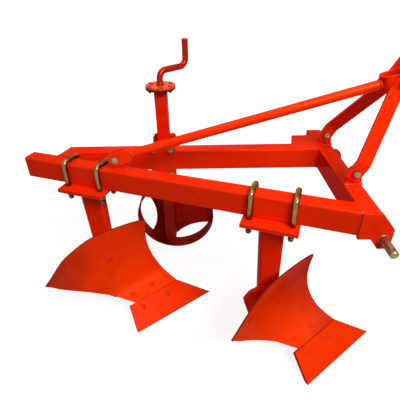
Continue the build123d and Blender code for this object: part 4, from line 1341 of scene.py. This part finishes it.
# %% Welds of the headstock
BESIDE = 0.001
SUNK = 0.0008
right_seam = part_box("cheek_right")[1].y + BESIDE
left_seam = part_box("cheek_left")[0].y - BESIDE
rear_x, front_x = head_low.x, head_high.x
top, low = frame_high - SUNK, frame_low + SUNK
in_front, behind = front_x + BESIDE, rear_x - BESIDE
cheek_paths = []
for seam in (right_seam, left_seam):
    cheek_paths.append([(rear_x, seam, top), (front_x - 0.004, seam, top)])
    cheek_paths.append([(in_front, seam, top - 0.004), (in_front, seam, low)])
weld(
    "headstock_welds",
    "frame",
    0.0017,
    *cheek_paths,
    [(behind, right_seam + 0.003, top), (behind, -0.1815, top)],
    [(behind, left_outer, top), (behind, left_inner, top), (behind, left_inner, low)],
    seed=3,
)
nose_low, nose_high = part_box("front_lug")
nose_paths = [
    [(in_front, y, nose_low.z + 0.004), (in_front, y, top)] for y in (nose_low.y - SUNK, nose_high.y + SUNK)
]
plates = [base_loop(node, frame_high) for node in ("mast_lug_right", "mast_lug_left", "brace_ear")]
weld("plate_welds", "frame", 0.0025, *plates, *nose_paths, seed=11)

# %% Welds of the frame's rear corner and of the legs
RETURN_OUT, RETURN_IN = 0.930, 0.880
LEG_GROW = 0.0012


def on_return(distance, y):
    """The point at a distance back along the diagonal where a line across it meets y."""
    sideways = (y - corner.y - distance * along.y) / across.y
    return corner + along * distance + across * sideways


elbow_out = on_return(RETURN_OUT, left_outer)
elbow_in = on_return(RETURN_IN, left_inner)
beside_tube = corner + across * 0.0502
side_in = beside_tube + along * RETURN_IN
side_out = beside_tube + along * RETURN_OUT
weld(
    "frame_corner_welds",
    "frame",
    0.0015,
    [elbow_out.lerp(elbow_in, 0.1) + up * frame_high, elbow_out.lerp(elbow_in, 0.9) + up * frame_high],
    [elbow_in + up * (top - 0.006), elbow_in + up * (low + 0.006)],
    [side_in + up * (top - 0.005), side_in + up * (low + 0.005)],
    [side_in + up * frame_high, side_out + up * frame_high],
    [side_out + up * (top - 0.005), side_out + up * (low + 0.005)],
    [(rear_x, left_outer + BESIDE, top), (gusset_low.x, left_outer + BESIDE, top)],
    seed=19,
)
for name, foot in feet.items():
    leg_low, leg_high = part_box("leg_" + name)
    round_leg = rectangle(leg_low, leg_high, LEG_GROW, leg_high.z - 0.001)
    web_y = leg_low.y - 0.0005
    on_web = [(foot.x - 0.026, web_y, 0.2635), (foot.x + 0.030, web_y, 0.2705)]
    weld("leg_welds_" + name, "frame", 0.0032, round_leg, on_web, seed=23)

# %% Welds of the brace, the post and the wheel
BEAD = 0.0026
POST_HALF = Vector((0.0205, 0.0205, 0))
HUB_SEAM, RIM_SEAM = 0.0283, 0.1472
DISC_HALF = 0.003
SPOKE_SPAN = 19
brace_rear = Vector((-0.264, 0.022, 0.618))
brace_front = Vector((0.4734, 0.036, 0.8166))
brace_dir = (brace_front - brace_rear).normalized()
rear_seam = circle(brace_rear + brace_dir * 0.0502, brace_dir, 0.0138)
front_seam = circle(brace_front - brace_dir * 0.0012, brace_dir, 0.0142)
weld("brace_welds", "frame", BEAD, rear_seam, front_seam, seed=31)
weld("post_weld", "frame", BEAD, rectangle(post - POST_HALF, post + POST_HALF, 0.0, 0.7682), seed=37)
hub = Vector((-0.119, 0.2635, 0.250))
faces = [hub + Vector((0, side * DISC_HALF, 0)) for side in (-1, 1)]
paths = [circle(face, TO_LEFT, HUB_SEAM) for face in faces]
for face in faces:
    for turn_by in (60, 180, 300):
        paths.append(circle(face, TO_LEFT, RIM_SEAM, turn_by - SPOKE_SPAN, turn_by + SPOKE_SPAN))
weld("wheel_welds", "wheel", BEAD, *paths, seed=41, finish=wheel_paint)

# %% [markdown]
# ## Small parts and marks
# Plated collars where the hitch pins leave the cheeks, the nut on the wheel's axle,
# and a few nicks where the enamel is gone and dark primer shows.

# %% Collars of the hitch pins
PIN_X = 0.442
COLLAR = 0.0138
rows = []
for side, sign in (("right", -1), ("left", 1)):
    cheek_low, cheek_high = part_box("cheek_" + side)
    seat_y = cheek_low.y if sign < 0 else cheek_high.y
    pin_z = middle_of("hitch_pin_" + side).z
    rows.append(("Washer", (PIN_X, seat_y, pin_z), (0, sign, 0), COLLAR, 0.0))
finish_piece(fasteners("pin_collars", rows, washer=collar_master), "frame", "yellow_zinc")

# %% Nicks in the paint
NICK_CORNERS = 10
NICK_PROUD, NICK_DEEP = 0.00015, 0.0004


def nicks(name, rows):
    """Small dark flakes lying on a face: each row is (middle, along, normal, long, wide)."""
    shape = bmesh.new()
    for middle, direction, normal, long, wide in rows:
        direction = Vector(direction).normalized()
        side = normal.cross(direction)
        outline = []
        for step in range(NICK_CORNERS):
            turn_by = 2 * math.pi * step / NICK_CORNERS
            reach = 1.0 + 0.25 * math.sin(3 * turn_by + long * 900)
            ahead = direction * (math.cos(turn_by) * long / 2 * reach)
            aside = side * (math.sin(turn_by) * wide / 2 * reach)
            outline.append(middle + normal * NICK_PROUD + ahead + aside)
        top_face = [shape.verts.new(point) for point in outline]
        under = [shape.verts.new(point - normal * NICK_DEEP) for point in outline]
        skin(shape, top_face, under)
        shape.faces.new(top_face)
        shape.faces.new(list(reversed(under)))
    return finished_mesh(name, shape, primer)


def on_near_face(distance, height):
    """A point of the diagonal tube's right-hand face."""
    return corner + along * distance + up * height


near_face = (-across).normalized()
marks = nicks(
    "paint_nicks",
    [
        (on_near_face(0.434, 0.5640), (0.25, 0, 1), near_face, 0.0150, 0.0024),
        (on_near_face(0.441, 0.5710), (1, 0.2, 0.2), near_face, 0.0070, 0.0018),
        (on_near_face(0.040, 0.5790), (0, 0, 1), near_face, 0.0060, 0.0016),
        (on_near_face(0.620, 0.5310), (1, 0, 0.1), near_face, 0.0050, 0.0012),
        (on_near_face(0.900, 0.5560), (0.2, 0, 1), near_face, 0.0050, 0.0014),
    ],
)
finish_piece(marks, "frame", "red_paint")

# %% Axle nut with its split pin
AXLE_THREAD = 0.0195
axle_end = hub + Vector((0, 0.016 + 0.005, 0))
rows = [("Nut", axle_end, TO_LEFT, AXLE_THREAD, 0.3), ("Thread", axle_end, TO_LEFT, AXLE_THREAD, 0.0)]
axle_nut = fasteners("axle_nut_body", rows, nut=thin_nut_master)
split = axle_end + Vector((0, 0.0125, 0))
loop = [(-0.021, 0.0), (0.017, 0.0), (0.021, 0.004), (0.017, 0.008), (0.013, 0.004)]
pin_corners = [split + Vector((x, 0.0, z)) for x, z in loop]
split_pin = bent_bar("split_pin", pin_corners, 0.0014, 0.0025, silver_zinc)
finish_piece(join("axle_nut", [axle_nut, split_pin]), "carriage", "plain_zinc")

# %% Clear away the masters
heads = [head_master, painted_head_master, flush_master]
nuts_and_rings = [nut_master, thin_nut_master, washer_flat, collar_master]
print("masters removed", len(heads + nuts_and_rings) + 2)
for master in heads + nuts_and_rings + [bolt_end, rod_end]:
    bpy.data.objects.remove(master)
